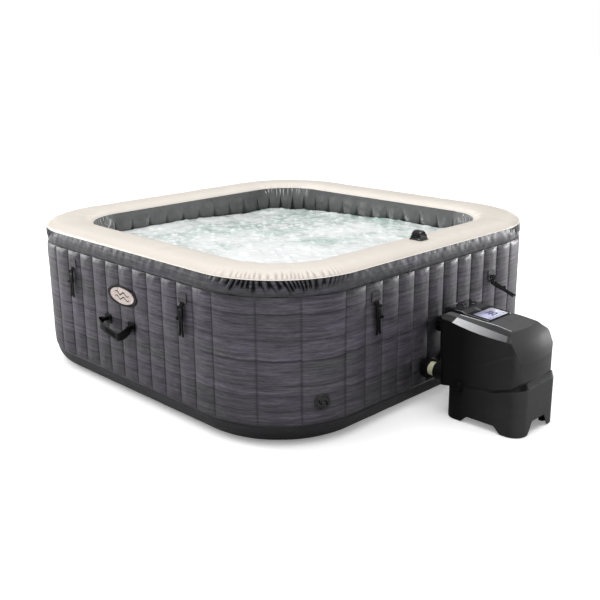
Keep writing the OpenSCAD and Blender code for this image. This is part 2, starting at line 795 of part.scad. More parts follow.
module button(i) {
    color([0.1, 0.1, 0.11]) translate([button_xs[i], button_ys[i], button_z0])
        linear_extrude(button_top - button_z0) union() {
            square([button_l, button_w - 8], center = true);
            square([button_l - 8, button_w], center = true);
            for (x = [-1, 1]) for (y = [-1, 1])
                translate([x * (button_l / 2 - 4), y * (button_w / 2 - 4)]) circle(r = 4);
        }
}

// ---------------------------------------------------------------- pump unit, small pieces

module side_plug() {
    y1 = unit_y - base_half - 4 - eps;
    color([0.09, 0.09, 0.1]) union() {
        cyl_y(y1 - 9, y1, 21, plug_x, plug_z);
        cyl_y(y1 - 1, y1 + 14, 14, plug_x, plug_z);
        translate([plug_x - 17, y1 - 14, plug_z - 4]) cube([34, 8, 8]);
    }
}

module foot_pads() {
    color([0.05, 0.05, 0.05]) for (x = [1135, 1420]) for (y = [-1, 1])
        translate([x, unit_y + y * 107, 0]) cylinder(h = 6, r = 14);
}

module housing_screws() {
    color([0.7, 0.7, 0.72]) for (x = post_xs) for (y = post_ys) translate([x, y, 0]) union() {
        translate([0, 0, deck_z - 4 - eps]) cylinder(h = 4, r = 4);
        translate([0, 0, deck_z - 1]) cylinder(h = 34, r = 2);
    }
}

module cord_inlet() {
    color([0.06, 0.06, 0.06]) difference() {
        union() {
            cyl_x(base_x0 - 12, base_x0 - eps, 13, unit_y + 60, 95);
            cyl_x(base_x0 - 1, base_x0 + 9, 9 - eps, unit_y + 60, 95);
        }
        cyl_x(base_x0 - 13, base_x0 + 10, 4.5, unit_y + 60, 95);
    }
}

// ---------------------------------------------------------------- inside the pump unit

deck_top = deck_z + deck_t + eps;
volute_r = 40;
volute_w = 40;
shaft_r = 4;
motor_x0 = volute_x0 + volute_w + 2;
motor_x1 = 1292;

module pump_volute() {
    color([0.2, 0.2, 0.22]) difference() {
        union() {
            cyl_x(volute_x0, volute_x0 + volute_w, volute_r, -inlet_y, water_port_z);
            translate([volute_x0 + 20, -inlet_y, water_port_z + 30])
                cylinder(h = 225 - water_port_z - 30, r = transfer_r);
            translate([volute_x0 + 5, -inlet_y - 20, deck_top]) cube([30, 40, 80]);
        }
        cyl_x(volute_x0 + 4, volute_x0 + volute_w - 4, volute_r - 4, -inlet_y, water_port_z);
        cyl_x(volute_x0 - 1, volute_x0 + 10, water_bore_r, -inlet_y, water_port_z);
        cyl_x(volute_x0 + 30, volute_x0 + 50, shaft_r + fit, -inlet_y, water_port_z);
        translate([volute_x0 + 20, -inlet_y, water_port_z + 20]) cylinder(h = 60, r = 9);
    }
}

module pump_motor() {
    fins = 12;
    color([0.55, 0.56, 0.58]) difference() {
        union() {
            cyl_x(motor_x0, motor_x1, 34, -inlet_y, water_port_z);
            for (i = [0:fins - 1]) translate([motor_x0 + 12, -inlet_y, water_port_z])
                rotate([30 * i, 0, 0]) translate([0, -1.5, 32]) cube([70, 3, 5]);
            translate([motor_x0 + 20, -inlet_y - 25, deck_top]) cube([60, 50, 80]);
        }
        cyl_x(motor_x0 - 1, motor_x1 - 4, shaft_r + fit, -inlet_y, water_port_z);
    }
}

module impeller() {
    vanes = 6;
    color([0.3, 0.32, 0.36]) union() {
        cyl_x(volute_x0 + 26, volute_x0 + 31, 32, -inlet_y, water_port_z);
        cyl_x(volute_x0 + 12, volute_x0 + 32, 9, -inlet_y, water_port_z);
        cyl_x(volute_x0 + 14, motor_x1 - 6, shaft_r, -inlet_y, water_port_z);
        for (i = [0:vanes - 1]) translate([volute_x0 + 12, -inlet_y, water_port_z])
            rotate([60 * i, 0, 0]) translate([0, -1.5, 6]) cube([15, 3, 24]);
    }
}

blower_z0 = air_port_z - 35;
blower_z1 = air_port_z + 35;
module blower_housing() {
    color([0.18, 0.18, 0.2]) difference() {
        union() {
            translate([blower_x, unit_y, blower_z0])
                cylinder(h = blower_z1 - blower_z0, r = blower_r);
            translate([blower_x, unit_y, blower_z0 - 32]) cylinder(h = 33, r = 26);
            for (s = [-1, 1]) translate([blower_x + 45 * s, unit_y, deck_top])
                cylinder(h = blower_z0 - deck_top + 1, r = 5);
        }
        translate([blower_x, unit_y, blower_z0 + 4])
            cylinder(h = blower_z1 - blower_z0 - 8, r = blower_r - 4);
        translate([blower_x, unit_y, blower_z0 - 28]) cylinder(h = 60, r = 3 + fit);
        translate([blower_x, unit_y, blower_z1 - 10]) cylinder(h = 20, r = 22);
        cyl_x(blower_x - blower_r - 2, blower_x - blower_r + 12, air_bore_r + 5 + eps,
            unit_y, air_port_z);
    }
}

module blower_fan() {
    blades = 9;
    color([0.4, 0.42, 0.45]) translate([blower_x, unit_y, 0]) union() {
        translate([0, 0, blower_z0 + 14]) cylinder(h = 4, r = 44);
        translate([0, 0, blower_z0 + 14]) cylinder(h = 36, r = 10);
        translate([0, 0, blower_z0 - 26]) cylinder(h = 60, r = 3);
        for (i = [0:blades - 1]) translate([0, 0, blower_z0 + 17]) rotate([0, 0, 40 * i])
            translate([8, -1.2, 0]) cube([34, 2.4, 30]);
    }
}

module heater_tube() {
    color([0.72, 0.73, 0.75]) union() {
        difference() {
            cyl_x(heater_x0, heater_x1, 31, outlet_y, water_port_z);
            cyl_x(heater_x0 + 3, heater_x1 - 3, 28, outlet_y, water_port_z);
            cyl_x(heater_x0 - 1, heater_x0 + 4, water_bore_r, outlet_y, water_port_z);
            cyl_x(heater_x1 - 4, heater_x1 + 1, 9, outlet_y, water_port_z);
        }
        for (s = [-1, 1])
            cyl_x(heater_x0 + 30, heater_x1 - 2, 4, outlet_y + 14 * s, water_port_z);
        cyl_y(outlet_y - 14, outlet_y + 14, 4, heater_x0 + 30, water_port_z);
        for (x = [heater_x0 + 40, heater_x1 - 50])
            translate([x, outlet_y - 15, deck_top]) cube([10, 30, 80]);
    }
}

module control_board() {
    color([0.1, 0.35, 0.2]) union() {
        translate([1100, -30, 400]) cube([100, 100, 2]);
        translate([1120, -5, 401]) cube([30, 22, 11]);
        translate([1160, 25, 401]) cube([22, 26, 15]);
        translate([1125, 30, 390]) cube([18, 18, 11]);
    }
}

outer_wall();
upper_band();
rim_top();
base_band();
inner_wall();
floor_liner();
base_sheet();
wall_webs();
air_channel();
badge();
panel_cradle();
air_valve_body();
air_valve_cap();
drain_body();
drain_cap();
clip_straps();
clip(0);  // clip_1
clip(1);  // clip_2
clip(2);  // clip_3
clip(3);  // clip_4
clip(4);  // clip_5
clip(5);  // clip_6
clip(6);  // clip_7
clip(7);  // clip_8
handle_brackets();
handle(3);  // handle_front
handle(1);  // handle_back
inlet_fitting();
outlet_fitting();
air_fitting();
wall_gaskets();
return_grille();
filter_housing();
filter_cartridge();
filter_cap();
pump_base();
pump_cover();
trim_bands();
control_panel();
panel_screen();
button(0);  // button_power
button(1);  // button_filter
button(2);  // button_heat
button(3);  // button_bubbles
button(4);  // button_timer
side_plug();
foot_pads();
housing_screws();
cord_inlet();
pump_volute();
pump_motor();
impeller();
blower_housing();
blower_fan();
heater_tube();
control_board();
water_pipes();
inlet_nut();
outlet_nut();
air_nut();
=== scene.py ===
"""Looks of the inflatable hot tub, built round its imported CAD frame. Metres, +Z up, the CAD's own frame."""

import math

import bmesh
import bpy
import numpy as np
from mathutils import Matrix, Vector, noise


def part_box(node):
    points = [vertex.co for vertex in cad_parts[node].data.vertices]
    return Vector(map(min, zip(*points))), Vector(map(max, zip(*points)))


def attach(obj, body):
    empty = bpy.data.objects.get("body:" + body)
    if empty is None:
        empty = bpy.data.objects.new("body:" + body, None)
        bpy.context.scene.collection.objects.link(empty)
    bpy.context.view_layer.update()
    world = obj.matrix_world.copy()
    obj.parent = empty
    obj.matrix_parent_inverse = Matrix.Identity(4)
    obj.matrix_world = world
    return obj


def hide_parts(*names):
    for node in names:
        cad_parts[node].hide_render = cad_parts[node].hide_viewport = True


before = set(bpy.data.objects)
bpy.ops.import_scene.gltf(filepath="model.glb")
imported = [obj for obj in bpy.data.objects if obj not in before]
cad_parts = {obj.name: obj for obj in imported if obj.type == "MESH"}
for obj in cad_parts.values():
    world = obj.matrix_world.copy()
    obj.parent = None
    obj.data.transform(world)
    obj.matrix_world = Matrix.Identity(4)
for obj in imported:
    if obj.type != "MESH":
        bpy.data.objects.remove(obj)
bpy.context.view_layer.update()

# ---------------------------------------------------------------- sizes: the frame's boxes, and beside them
# what a box can't tell, such as radii, pitches and the ports

SKIN = 0.004
GAP = 0.0002                                    # between pieces that lie against each other
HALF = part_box("upper_band")[1].x                # half the tub's width at the rim's seam
SEAM_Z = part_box("upper_band")[1].z
FLUTE_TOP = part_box("upper_band")[0].z
RIM_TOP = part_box("rim_top")[1].z
BASE_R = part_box("base_band")[1].z               # radius of the rounded bottom edge
CROWN_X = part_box("outer_wall")[1].x             # outermost line of the straight walls
WALL_X = CROWN_X + GAP                          # plane that the trim on the walls stands on
FLUTE_CROWN = CROWN_X - HALF
INNER_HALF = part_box("inner_wall")[1].x - SKIN
FLOOR_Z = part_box("floor_liner")[1].z
CORNER_R = 0.417                                # of the plan, along the rim's outer seam
INNER_R = 0.260                                 # of the plan, along the inner wall
FLUTE_PITCH = 0.1025                            # on the straight walls
CORNER_WELDS = (6.5, 33, 57, 83.5)              # degrees round each corner
WATER_Z = 0.560                                 # still water, before it is whipped up

STRAIGHT = HALF - CORNER_R                      # from a wall's middle to its corner's arc
QUARTER = 2 * STRAIGHT + CORNER_R * math.pi / 2     # a quarter of the seam's length
STRAIGHT_SHARE = STRAIGHT / QUARTER

UNIT_LOW, UNIT_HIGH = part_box("pump_base")
COVER_LOW, COVER_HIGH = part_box("pump_cover")
UNIT_Y = (COVER_LOW.y + COVER_HIGH.y) / 2
BASE_HALF = UNIT_HIGH.y - UNIT_Y
COVER_HALF = COVER_HIGH.y - UNIT_Y
UNIT_R = 0.060                                  # corners of the pump unit's base, in plan
PORTS_Z = 0.172                                 # both water ports
INLET_Y, OUTLET_Y = -0.070, 0.110
AIR_PORT_Z = 0.350

I4 = Matrix.Identity(4)

# ---------------------------------------------------------------- outlines


def square_ring(u, half, radius):
    """Points and outward normals of a rounded square at parameters u, where each quarter takes one unit."""
    quarter = np.floor(u)
    t = u - quarter
    centre = half - radius
    angle = np.clip((t - STRAIGHT_SHARE) / (1 - 2 * STRAIGHT_SHARE), 0, 1) * math.pi / 2
    x = np.clip((1 - t) / STRAIGHT_SHARE, 0, 1) * centre + radius * np.cos(angle)
    y = np.clip(t / STRAIGHT_SHARE, 0, 1) * centre + radius * np.sin(angle)
    turn = quarter * math.pi / 2
    points = np.stack([x * np.cos(turn) - y * np.sin(turn), x * np.sin(turn) + y * np.cos(turn)], -1)
    return points, np.stack([np.cos(angle + turn), np.sin(angle + turn)], -1)


def corner_share(u):
    """How far inside a corner's arc a parameter is: 0 on the straights, 1 in the middle of the corner."""
    t = u - np.floor(u)
    angle = np.clip((t - STRAIGHT_SHARE) / (1 - 2 * STRAIGHT_SHARE), 0, 1)
    return np.sin(angle * math.pi)


def smooth_step(x, low=0.0, high=1.0):
    t = np.clip((x - low) / (high - low), 0, 1)
    return t * t * (3 - 2 * t)


def ripple(u, v, seed, lengths, waves=14):
    """Repeatable unevenness, about -1 to 1, that closes round the tub. lengths: (shortest, longest)."""
    rng = np.random.default_rng(seed)
    total = np.zeros(np.broadcast(u, v).shape)
    for _ in range(waves):
        length = math.exp(rng.uniform(math.log(lengths[0]), math.log(lengths[1])))
        turns = max(1, round(4 * QUARTER / length))
        total += np.sin(u * turns * math.pi / 2 + v * rng.uniform(-1, 1) * 2 * math.pi / length
                        + rng.uniform(0, 2 * math.pi))
    return total / math.sqrt(waves)


def flute_columns(steps):
    """Distance along the outline, share across its flute and flute number of each column of the wall."""
    straights = [(k + 0.5) * FLUTE_PITCH for k in range(5)]
    welds = ([-FLUTE_PITCH / 2] + straights
             + [STRAIGHT + CORNER_R * math.radians(a) for a in CORNER_WELDS]
             + [QUARTER - s for s in reversed(straights)])
    shares = 0.5 - 0.5 * np.cos(np.arange(steps) / steps * math.pi)
    distance, share, number = [], [], []
    for quarter in range(4):
        for k in range(len(welds) - 1):
            distance.append(quarter * QUARTER + welds[k] + (welds[k + 1] - welds[k]) * shares)
            share.append(shares)
            number.append(np.full(steps, quarter * (len(welds) - 1) + k))
    return np.concatenate(distance), np.concatenate(share), np.concatenate(number)


# ---------------------------------------------------------------- node materials


def rgba(colour):
    """A colour as the sockets want it. What isn't three numbers passes through."""
    return (*colour, 1) if isinstance(colour, tuple) and len(colour) == 3 else colour


def grey(level):
    return level, level, level


class Shading:
    """Adds nodes to a node tree. A value may be a number, a colour or another node's output."""

    def __init__(self, tree):
        self.nodes, self.links = tree.nodes, tree.links

    def node(self, kind, inputs=(), **settings):
        made = self.nodes.new("ShaderNode" + kind)
        for name, value in settings.items():
            setattr(made, name, value)
        for socket, value in dict(inputs).items():
            if isinstance(value, bpy.types.NodeSocket):
                self.links.new(value, made.inputs[socket])
            else:
                made.inputs[socket].default_value = value
        return made

    def parts(self, vector):
        return self.node("SeparateXYZ", {0: vector}).outputs

    def scaled(self, vector, x, y, z):
        return self.node("Mapping", {"Vector": vector, "Scale": (x, y, z)}).outputs[0]

    def vector(self, x, y, z=0.0):
        return self.node("CombineXYZ", {0: x, 1: y, 2: z}).outputs[0]

    def math(self, operation, a, b=0.0):
        return self.node("Math", {0: a, 1: b}, operation=operation).outputs[0]

    def times(self, a, b):
        return self.math("MULTIPLY", a, b)

    def plus(self, a, b):
        return self.math("ADD", a, b)

    def minus(self, a, b):
        return self.math("SUBTRACT", a, b)

    def noise(self, vector, scale, detail=3.0, roughness=0.55):
        inputs = {"Vector": vector, "Scale": scale, "Detail": detail, "Roughness": roughness}
        return self.node("TexNoise", inputs).outputs[0]

    def grain(self, u, v, along, up, *detail):
        """Noise stretched by these scales."""
        return self.noise(self.vector(self.times(u, along), self.times(v, up)), 1.0, *detail)

    def ramp(self, factor, stops, interpolation="LINEAR"):
        made = self.node("ValToRGB", {0: factor})
        elements = made.color_ramp.elements
        made.color_ramp.interpolation = interpolation
        while len(elements) < len(stops):
            elements.new(1.0)
        for element, (position, colour) in zip(elements, stops):
            element.position = position
            element.color = rgba(colour if isinstance(colour, tuple) else grey(colour))
        return made.outputs[0]

    def spread(self, value, low, high, from_low=0.0, from_high=1.0):
        made = self.node("MapRange", {0: value, 1: from_low, 2: from_high, 3: low, 4: high})
        return made.outputs[0]

    def mix(self, factor, a, b, blend="MIX"):
        made = self.node("Mix", {0: factor, 6: rgba(a), 7: rgba(b)}, data_type="RGBA", blend_type=blend)
        return made.outputs[2]


class Finish(Shading):
    """A procedural material while it is being put together."""

    def __init__(self, name, colour, roughness, **values):
        self.material = bpy.data.materials.new(name)
        self.material.use_nodes = True
        super().__init__(self.material.node_tree)
        self.shader = self.nodes["Principled BSDF"]
        self.shader.inputs["Base Color"].default_value = rgba(colour)
        self.shader.inputs["Roughness"].default_value = roughness
        for socket, value in values.items():
            self.shader.inputs[socket.replace("_", " ")].default_value = value
        self.height = None

    def place(self):
        return self.node("TexCoord").outputs["Object"]

    def perimeter(self):
        """The layer that runs round the tub: u along the outline and v up, in metres."""
        return self.parts(self.node("UVMap", uv_map="perimeter").outputs[0])[:2]

    def mark(self, name):
        """A value that the mesh carries."""
        return self.node("Attribute", attribute_name=name).outputs["Fac"]

    def colour(self, value, *stops):
        """Base colour: a colour output, or a ramp of stops along a value."""
        self.set("Base Color", self.ramp(value, stops) if stops else value)

    def darken_folds(self, colour, dark, amount=1.0):
        """Darkens what the mesh marks as creased: painted shade in folds, and dark weld lines."""
        return self.mix(self.times(self.mark("crease"), amount), colour, dark)

    def set(self, socket, value):
        self.links.new(value, self.shader.inputs[socket])

    def bump(self, height, distance, strength=1.0):
        """Adds a layer of relief: height 0 to 1 stands for distance metres."""
        made = self.node("Bump", {"Height": height, "Distance": distance, "Strength": strength})
        if self.height is not None:
            self.links.new(self.height, made.inputs["Normal"])
        self.height = made.outputs[0]
        self.links.new(self.height, self.shader.inputs["Normal"])


BOARD_EDGES = (0.077, 0.158, 0.219, 0.261, 0.364, 0.447, 0.552, 0.640)  # heights on the wall
BOARD_TONES = (0.92, 1.04, 0.88, 1.08, 0.96, 1.05, 0.9, 1.02, 0.95)
PRINT_TOP = 0.72


def printed_boards(name, kind):
    """Weathered grey boards printed on the vinyl: grain along the wall, uneven board edges."""
    f = Finish(name, grey(0.09), 0.42, Specular_IOR_Level=0.35)
    along, height = f.perimeter()
    flute = f.mark("flute")
    shift = f.node("TexWhiteNoise", {1: flute}, noise_dimensions="1D").outputs[0]
    sway = f.noise(f.vector(along, height), 2.3, 2.0)
    board_v = f.plus(height, f.times(f.minus(shift, 0.5), 0.010))
    board_v = f.plus(board_v, f.times(f.minus(sway, 0.5), 0.012))
    level = f.math("DIVIDE", board_v, PRINT_TOP)
    stops = [(0.0, BOARD_TONES[0] / 2)] + [(edge / PRINT_TOP, tone / 2)
                                           for edge, tone in zip(BOARD_EDGES, BOARD_TONES[1:])]
    tone = f.times(f.ramp(level, stops, "CONSTANT"), 2.0)
    grain_u = f.plus(along, f.times(tone, 7.3))
    broad = f.grain(grain_u, height, 7.0, 95.0, 5.0, 0.66)
    fine = f.grain(grain_u, height, 30.0, 300.0, 4.0, 0.68)
    patch = f.grain(grain_u, height, 2.6, 9.0)
    streak = f.plus(f.times(broad, 0.62), f.times(fine, 0.38))
    colour = f.ramp(streak, [(0.34, (0.032, 0.029, 0.035)), (0.43, (0.068, 0.063, 0.074)),
                             (0.53, (0.106, 0.100, 0.114)), (0.66, (0.185, 0.177, 0.194))])
    tinted = f.ramp(patch, [(0.34, (0.86, 0.90, 0.86)), (0.50, (1.0, 0.99, 1.03)),
                            (0.66, (1.13, 1.09, 1.24))])
    colour = f.mix(1.0, colour, tinted, "MULTIPLY")
    if kind == "base":
        colour = f.mix(1.0, colour, (0.40, 0.41, 0.40), "MULTIPLY")
        # Painted shade: the underside of the rounded base edge darkens to near black where it turns under
        # towards the floor; just below the seam the curve is darker too.
        low_edge = f.spread(height, 1.0, 0.0, -0.148, -0.095)
        colour = f.mix(low_edge, colour, grey(0.004))
        colour = f.mix(f.spread(height, 0.0, 0.75, -0.012, 0.0), colour, grey(0.008))
    elif kind == "wall":
        tones = f.node("CombineColor", {0: tone, 1: tone, 2: tone}).outputs[0]
        colour = f.mix(1.0, colour, tones, "MULTIPLY")
        half_line = 0.0022
        line_stops = [(0.0, 0.0)]
        for edge in BOARD_EDGES[:-1]:
            line_stops += [((edge - 6 * half_line) / PRINT_TOP, 0.0), ((edge - half_line) / PRINT_TOP, 0.50),
                           ((edge - half_line / 2) / PRINT_TOP, 1.0), ((edge + half_line) / PRINT_TOP, 0.0)]
        line = f.ramp(level, line_stops)
        broken = f.spread(f.grain(along, height, 6.0, 1.0, 2.0), 0.30, 0.85, 0.3, 0.55)
        colour = f.mix(f.times(line, broken), colour, (0.006, 0.005, 0.008))
    else:
        colour = f.mix(1.0, colour, (0.80, 0.84, 0.80), "MULTIPLY")
        lower = f.spread(height, 0.8, 0.0, FLUTE_TOP - 0.002, FLUTE_TOP + 0.010)
        colour = f.mix(lower, colour, (0.014, 0.016, 0.015))
    # The crease mark: dark weld lines, and painted shade in the band's gathers and along the flute tops under
    # the band.
    colour = f.darken_folds(colour, (0.006, 0.006, 0.007), 0.95)
    # Painted shade: ambient occlusion darkens the print in hollows, under the rim and near the pump, where
    # shade falls.
    open_sky = f.node("AmbientOcclusion", {"Distance": 0.40}, samples=8).outputs["AO"]
    occlusion_shade = f.ramp(open_sky, [(0.30, 0.22), (0.62, 0.74), (0.88, 1.0)])
    colour = f.mix(1.0, colour, occlusion_shade, "MULTIPLY")
    f.colour(colour)
    f.set("Roughness", f.spread(fine, 0.33, 0.50, 0.3, 0.7))
    f.bump(f.noise(f.place(), 260.0, 2.0), 0.00025, 0.5)
    f.bump(f.grain(along, height, 40.0, 7.0, 2.0), 0.0016, 0.7)
    return f.material


def vinyl(name, colour, roughness, mottle=0.08, wrinkle=0.0012, folds=None, ridges=None, **values):
    """Plain PVC: faint mottling, an emboss and wrinkles. folds: colour of the painted shade in the creases;
    ridges: colour of the painted highlight on the ridges.
    """
    f = Finish(name, colour, roughness, **values)
    place = f.place()
    broad = f.noise(place, 3.5, 3.0)
    light, dark = (tuple(c * (1 + s * mottle) for c in colour) for s in (1, -1))
    mottled = f.ramp(broad, [(0.3, dark), (0.7, light)])
    if folds:
        mottled = f.darken_folds(mottled, folds)
    if ridges:
        mottled = f.mix(f.mark("ridge"), mottled, ridges)
    f.colour(mottled)
    f.set("Roughness", f.spread(f.noise(place, 28.0, 3.0), roughness * 0.85, roughness * 1.2, 0.3, 0.7))
    f.bump(f.noise(place, 600.0, 2.0), 0.00012, 0.6)
    f.bump(f.noise(place, 14.0, 3.0), wrinkle, 0.5)
    return f.material


def moulded(name, colour, roughness, grain=700.0, depth=0.00012, wear=0.35, **values):
    """Moulded plastic with a spark-eroded grain and slightly polished patches."""
    f = Finish(name, colour, roughness, **values)
    place = f.place()
    rub = f.noise(place, 9.0, 4.0, 0.65)
    bright = tuple(min(1.0, c * (1 + wear)) for c in colour)
    f.colour(rub, (0.38, colour), (0.72, bright))
    f.set("Roughness", f.spread(rub, roughness * 1.15, roughness * 0.8, 0.3, 0.7))
    f.bump(f.noise(place, grain, 2.0), depth, 0.7)
    return f.material


def pump_finish():
    """The unit's charcoal plastic, with painted light where it faces up or to the front and painted shade on
    its sides towards the back.
    """
    f = Finish("pump_charcoal", (0.026, 0.026, 0.027), 0.55, Specular_IOR_Level=0.15)
    place = f.place()
    parts = f.parts(place)
    facing = f.parts(f.node("NewGeometry").outputs["Normal"])
    rub = f.noise(place, 9.0, 4.0, 0.65)
    plastic = f.ramp(rub, [(0.38, (0.028, 0.028, 0.029)), (0.72, (0.034, 0.034, 0.0355))])
    # Painted light: paler where the surface faces the front and where it faces up.
    plastic = f.mix(f.spread(facing[0], 0.0, 1.0, 0.30, 0.90), plastic, (0.056, 0.056, 0.0575))
    plastic = f.mix(f.spread(facing[2], 0.0, 1.0, 0.80, 0.97), plastic, (0.075, 0.075, 0.077))
    # Painted shade: the sides darken towards the back, next to the tub's wall.
    back = f.spread(parts[0], 1.0, 0.0, 1.17, 1.38)
    sideways = f.spread(f.math("ABSOLUTE", facing[1]), 0.0, 1.0, 0.55, 0.9)
    f.colour(f.mix(f.times(back, sideways), plastic, (0.0045, 0.0045, 0.005)))
    f.set("Roughness", f.spread(rub, 0.60, 0.50, 0.3, 0.7))
    f.bump(f.noise(place, 900.0, 2.0), 0.0001, 0.7)
    return f.material


def metal(name, colour, roughness):
    f = Finish(name, colour, roughness, Metallic=1.0)
    place = f.place()
    brush = f.noise(f.scaled(place, 18.0, 420.0, 420.0), 1.0, 3.0)
    light, dark = (tuple(min(1.0, c * s) for c in colour) for s in (1.12, 0.82))
    f.colour(brush, (0.3, dark), (0.7, light))
    f.set("Roughness", f.spread(brush, roughness * 0.8, roughness * 1.3, 0.3, 0.7))
    f.bump(brush, 0.00005, 0.5)
    return f.material


def water_finish():
    """Foaming water: soft white froth with pale aqua pools between it, and small ripples."""
    f = Finish("foaming_water", (0.8, 0.86, 0.85), 0.2, IOR=1.33, Coat_Weight=0.4, Coat_Roughness=0.12)
    place = f.place()
    swirl = f.noise(place, 3.2, 4.0, 0.6)
    warped = f.node("VectorMath", {0: place, 1: f.vector(swirl, f.noise(place, 4.1, 3.0), 0.0)},
                    operation="ADD").outputs[0]
    froth = f.noise(f.scaled(warped, 1.0, 1.0, 0.3), 9.0, 6.0, 0.60)
    parts = f.parts(place)
    away = f.minus(parts[1], parts[0])
    right = f.plus(parts[0], parts[1])
    pools = f.noise(f.scaled(place, 1.0, 1.0, 0.2), 3.0, 2.0)
    cover = f.plus(froth, f.times(f.minus(pools, 0.5), 1.0))
    cover = f.minus(cover, f.times(away, 0.10))
    cover = f.minus(cover, f.times(right, 0.07))
    f.colour(cover, (0.18, (0.46, 0.61, 0.555)), (0.34, (0.60, 0.69, 0.66)), (0.47, (0.72, 0.765, 0.75)),
             (0.62, (0.80, 0.82, 0.815)))
    f.set("Roughness", f.spread(cover, 0.12, 0.45, 0.30, 0.6))
    f.bump(froth, 0.006, 0.5)
    f.bump(f.noise(warped, 48.0, 3.0, 0.6), 0.0011, 0.6)
    return f.material


def patch_print():
    """The same boards as the wall's, for the small patches welded onto it."""
    f = Finish("patch_print", grey(0.05), 0.42, Specular_IOR_Level=0.35)
    place = f.place()
    streak = f.noise(f.scaled(place, 8.0, 8.0, 110.0), 1.0, 4.0, 0.6)
    f.colour(streak, (0.32, (0.024, 0.022, 0.026)), (0.50, (0.058, 0.054, 0.062)),
             (0.68, (0.098, 0.094, 0.106)))
    f.bump(f.noise(place, 260.0, 2.0), 0.00025, 0.5)
    return f.material


def badge_finish():
    f = Finish("badge_cream", (0.76, 0.64, 0.59), 0.38)
    place = f.place()
    fibre = f.noise(f.scaled(place, 1.0, 1.0, 3.0), 120.0, 3.0)
    f.colour(fibre, (0.3, (0.70, 0.58, 0.53)), (0.7, (0.80, 0.69, 0.64)))
    f.bump(fibre, 0.0001, 0.5)
    return f.material


def webbing_finish():
    f = Finish("strap_webbing", (0.006, 0.006, 0.007), 0.8, Specular_IOR_Level=0.1)
    place = f.place()
    threads = []
    for scale, way in ((260.0, "DIAGONAL"), (330.0, "Z")):
        wave = f.node("TexWave", {"Vector": place, "Scale": scale, "Distortion": 0.4}, bands_direction=way)
        threads.append(wave.outputs["Fac"])
    weave = f.times(*threads)
    f.colour(weave, (0.1, (0.003, 0.003, 0.0035)), (0.8, (0.011, 0.011, 0.012)))
    f.bump(weave, 0.0004, 0.8)
    return f.material


def trim_finish():
    """Pale grey trim that darkens a little to the front, with a brushed grain."""
    f = Finish("trim_silver", (0.30, 0.30, 0.31), 0.36)
    place = f.place()
    x = f.parts(place)[0]
    low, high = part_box("trim_bands")
    blend = f.spread(x, 0.0, 1.0, low.x, high.x)
    colour = f.ramp(blend, [(0.0, (0.60, 0.60, 0.61)), (0.45, (0.38, 0.38, 0.39)),
                            (0.80, (0.15, 0.15, 0.155)), (1.0, (0.04, 0.04, 0.042))])
    grain = f.noise(f.scaled(place, 30.0, 500.0, 500.0), 1.0, 2.0)
    f.colour(f.mix(0.18, colour, f.ramp(grain, [(0.3, grey(0.1)), (0.7, grey(0.8))]), "OVERLAY"))
    f.bump(grain, 0.00005, 0.5)
    return f.material


def display_finish():
    """Pale violet display glass, lighter to one side, with a faint dot grid."""
    f = Finish("lcd_glass", (0.62, 0.63, 0.82), 0.12, Coat_Weight=0.5)
    place = f.place()
    y = f.parts(place)[1]
    low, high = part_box("panel_screen")
    blend = f.plus(f.spread(y, 0.0, 0.8, low.y, high.y), f.times(f.noise(place, 26.0, 2.0), 0.25))
    dots = f.node("TexChecker", {"Vector": place, "Scale": 900.0}).outputs["Fac"]
    colour = f.ramp(blend, [(0.05, (0.44, 0.45, 0.55)), (0.35, (0.52, 0.53, 0.76)),
                            (0.9, (0.84, 0.86, 0.97))])
    f.colour(f.mix(f.times(dots, 0.05), colour, (0.3, 0.3, 0.5)))
    return f.material


def board_finish():
    f = Finish("circuit_green", (0.02, 0.14, 0.06), 0.35)
    place = f.place()
    tracks = f.node("TexBrick", {"Vector": place, "Scale": 60.0, "Mortar Size": 0.04,
                                 "Color1": rgba((0.02, 0.13, 0.05)), "Color2": rgba((0.015, 0.10, 0.04)),
                                 "Mortar": rgba((0.25, 0.22, 0.08))})
    f.colour(tracks.outputs["Color"])
    f.bump(tracks.outputs["Fac"], 0.0001, 0.4)
    return f.material


def paper_finish():
    f = Finish("pleated_paper", (0.8, 0.8, 0.76), 0.85)
    fibre = f.noise(f.place(), 160.0, 4.0)
    f.colour(fibre, (0.3, (0.72, 0.72, 0.67)), (0.7, (0.86, 0.86, 0.83)))
    f.bump(fibre, 0.0003, 0.6)
    return f.material


WALL_PRINT = printed_boards("printed_boards", "wall")
BAND_PRINT = printed_boards("printed_band", "band")
BASE_PRINT = printed_boards("printed_base", "base")
# The rim's fold colour is painted shade in its wrinkles and at its outer edge.
RIM_VINYL = vinyl("rim_vinyl_cream", (0.745, 0.688, 0.618), 0.34, 0.025, 0.002, (0.42, 0.37, 0.32),
                  Coat_Weight=0.2, Coat_Roughness=0.2)
SEAM_VINYL = vinyl("seam_vinyl_cream", (0.84, 0.80, 0.74), 0.35, 0.03, 0.0004)
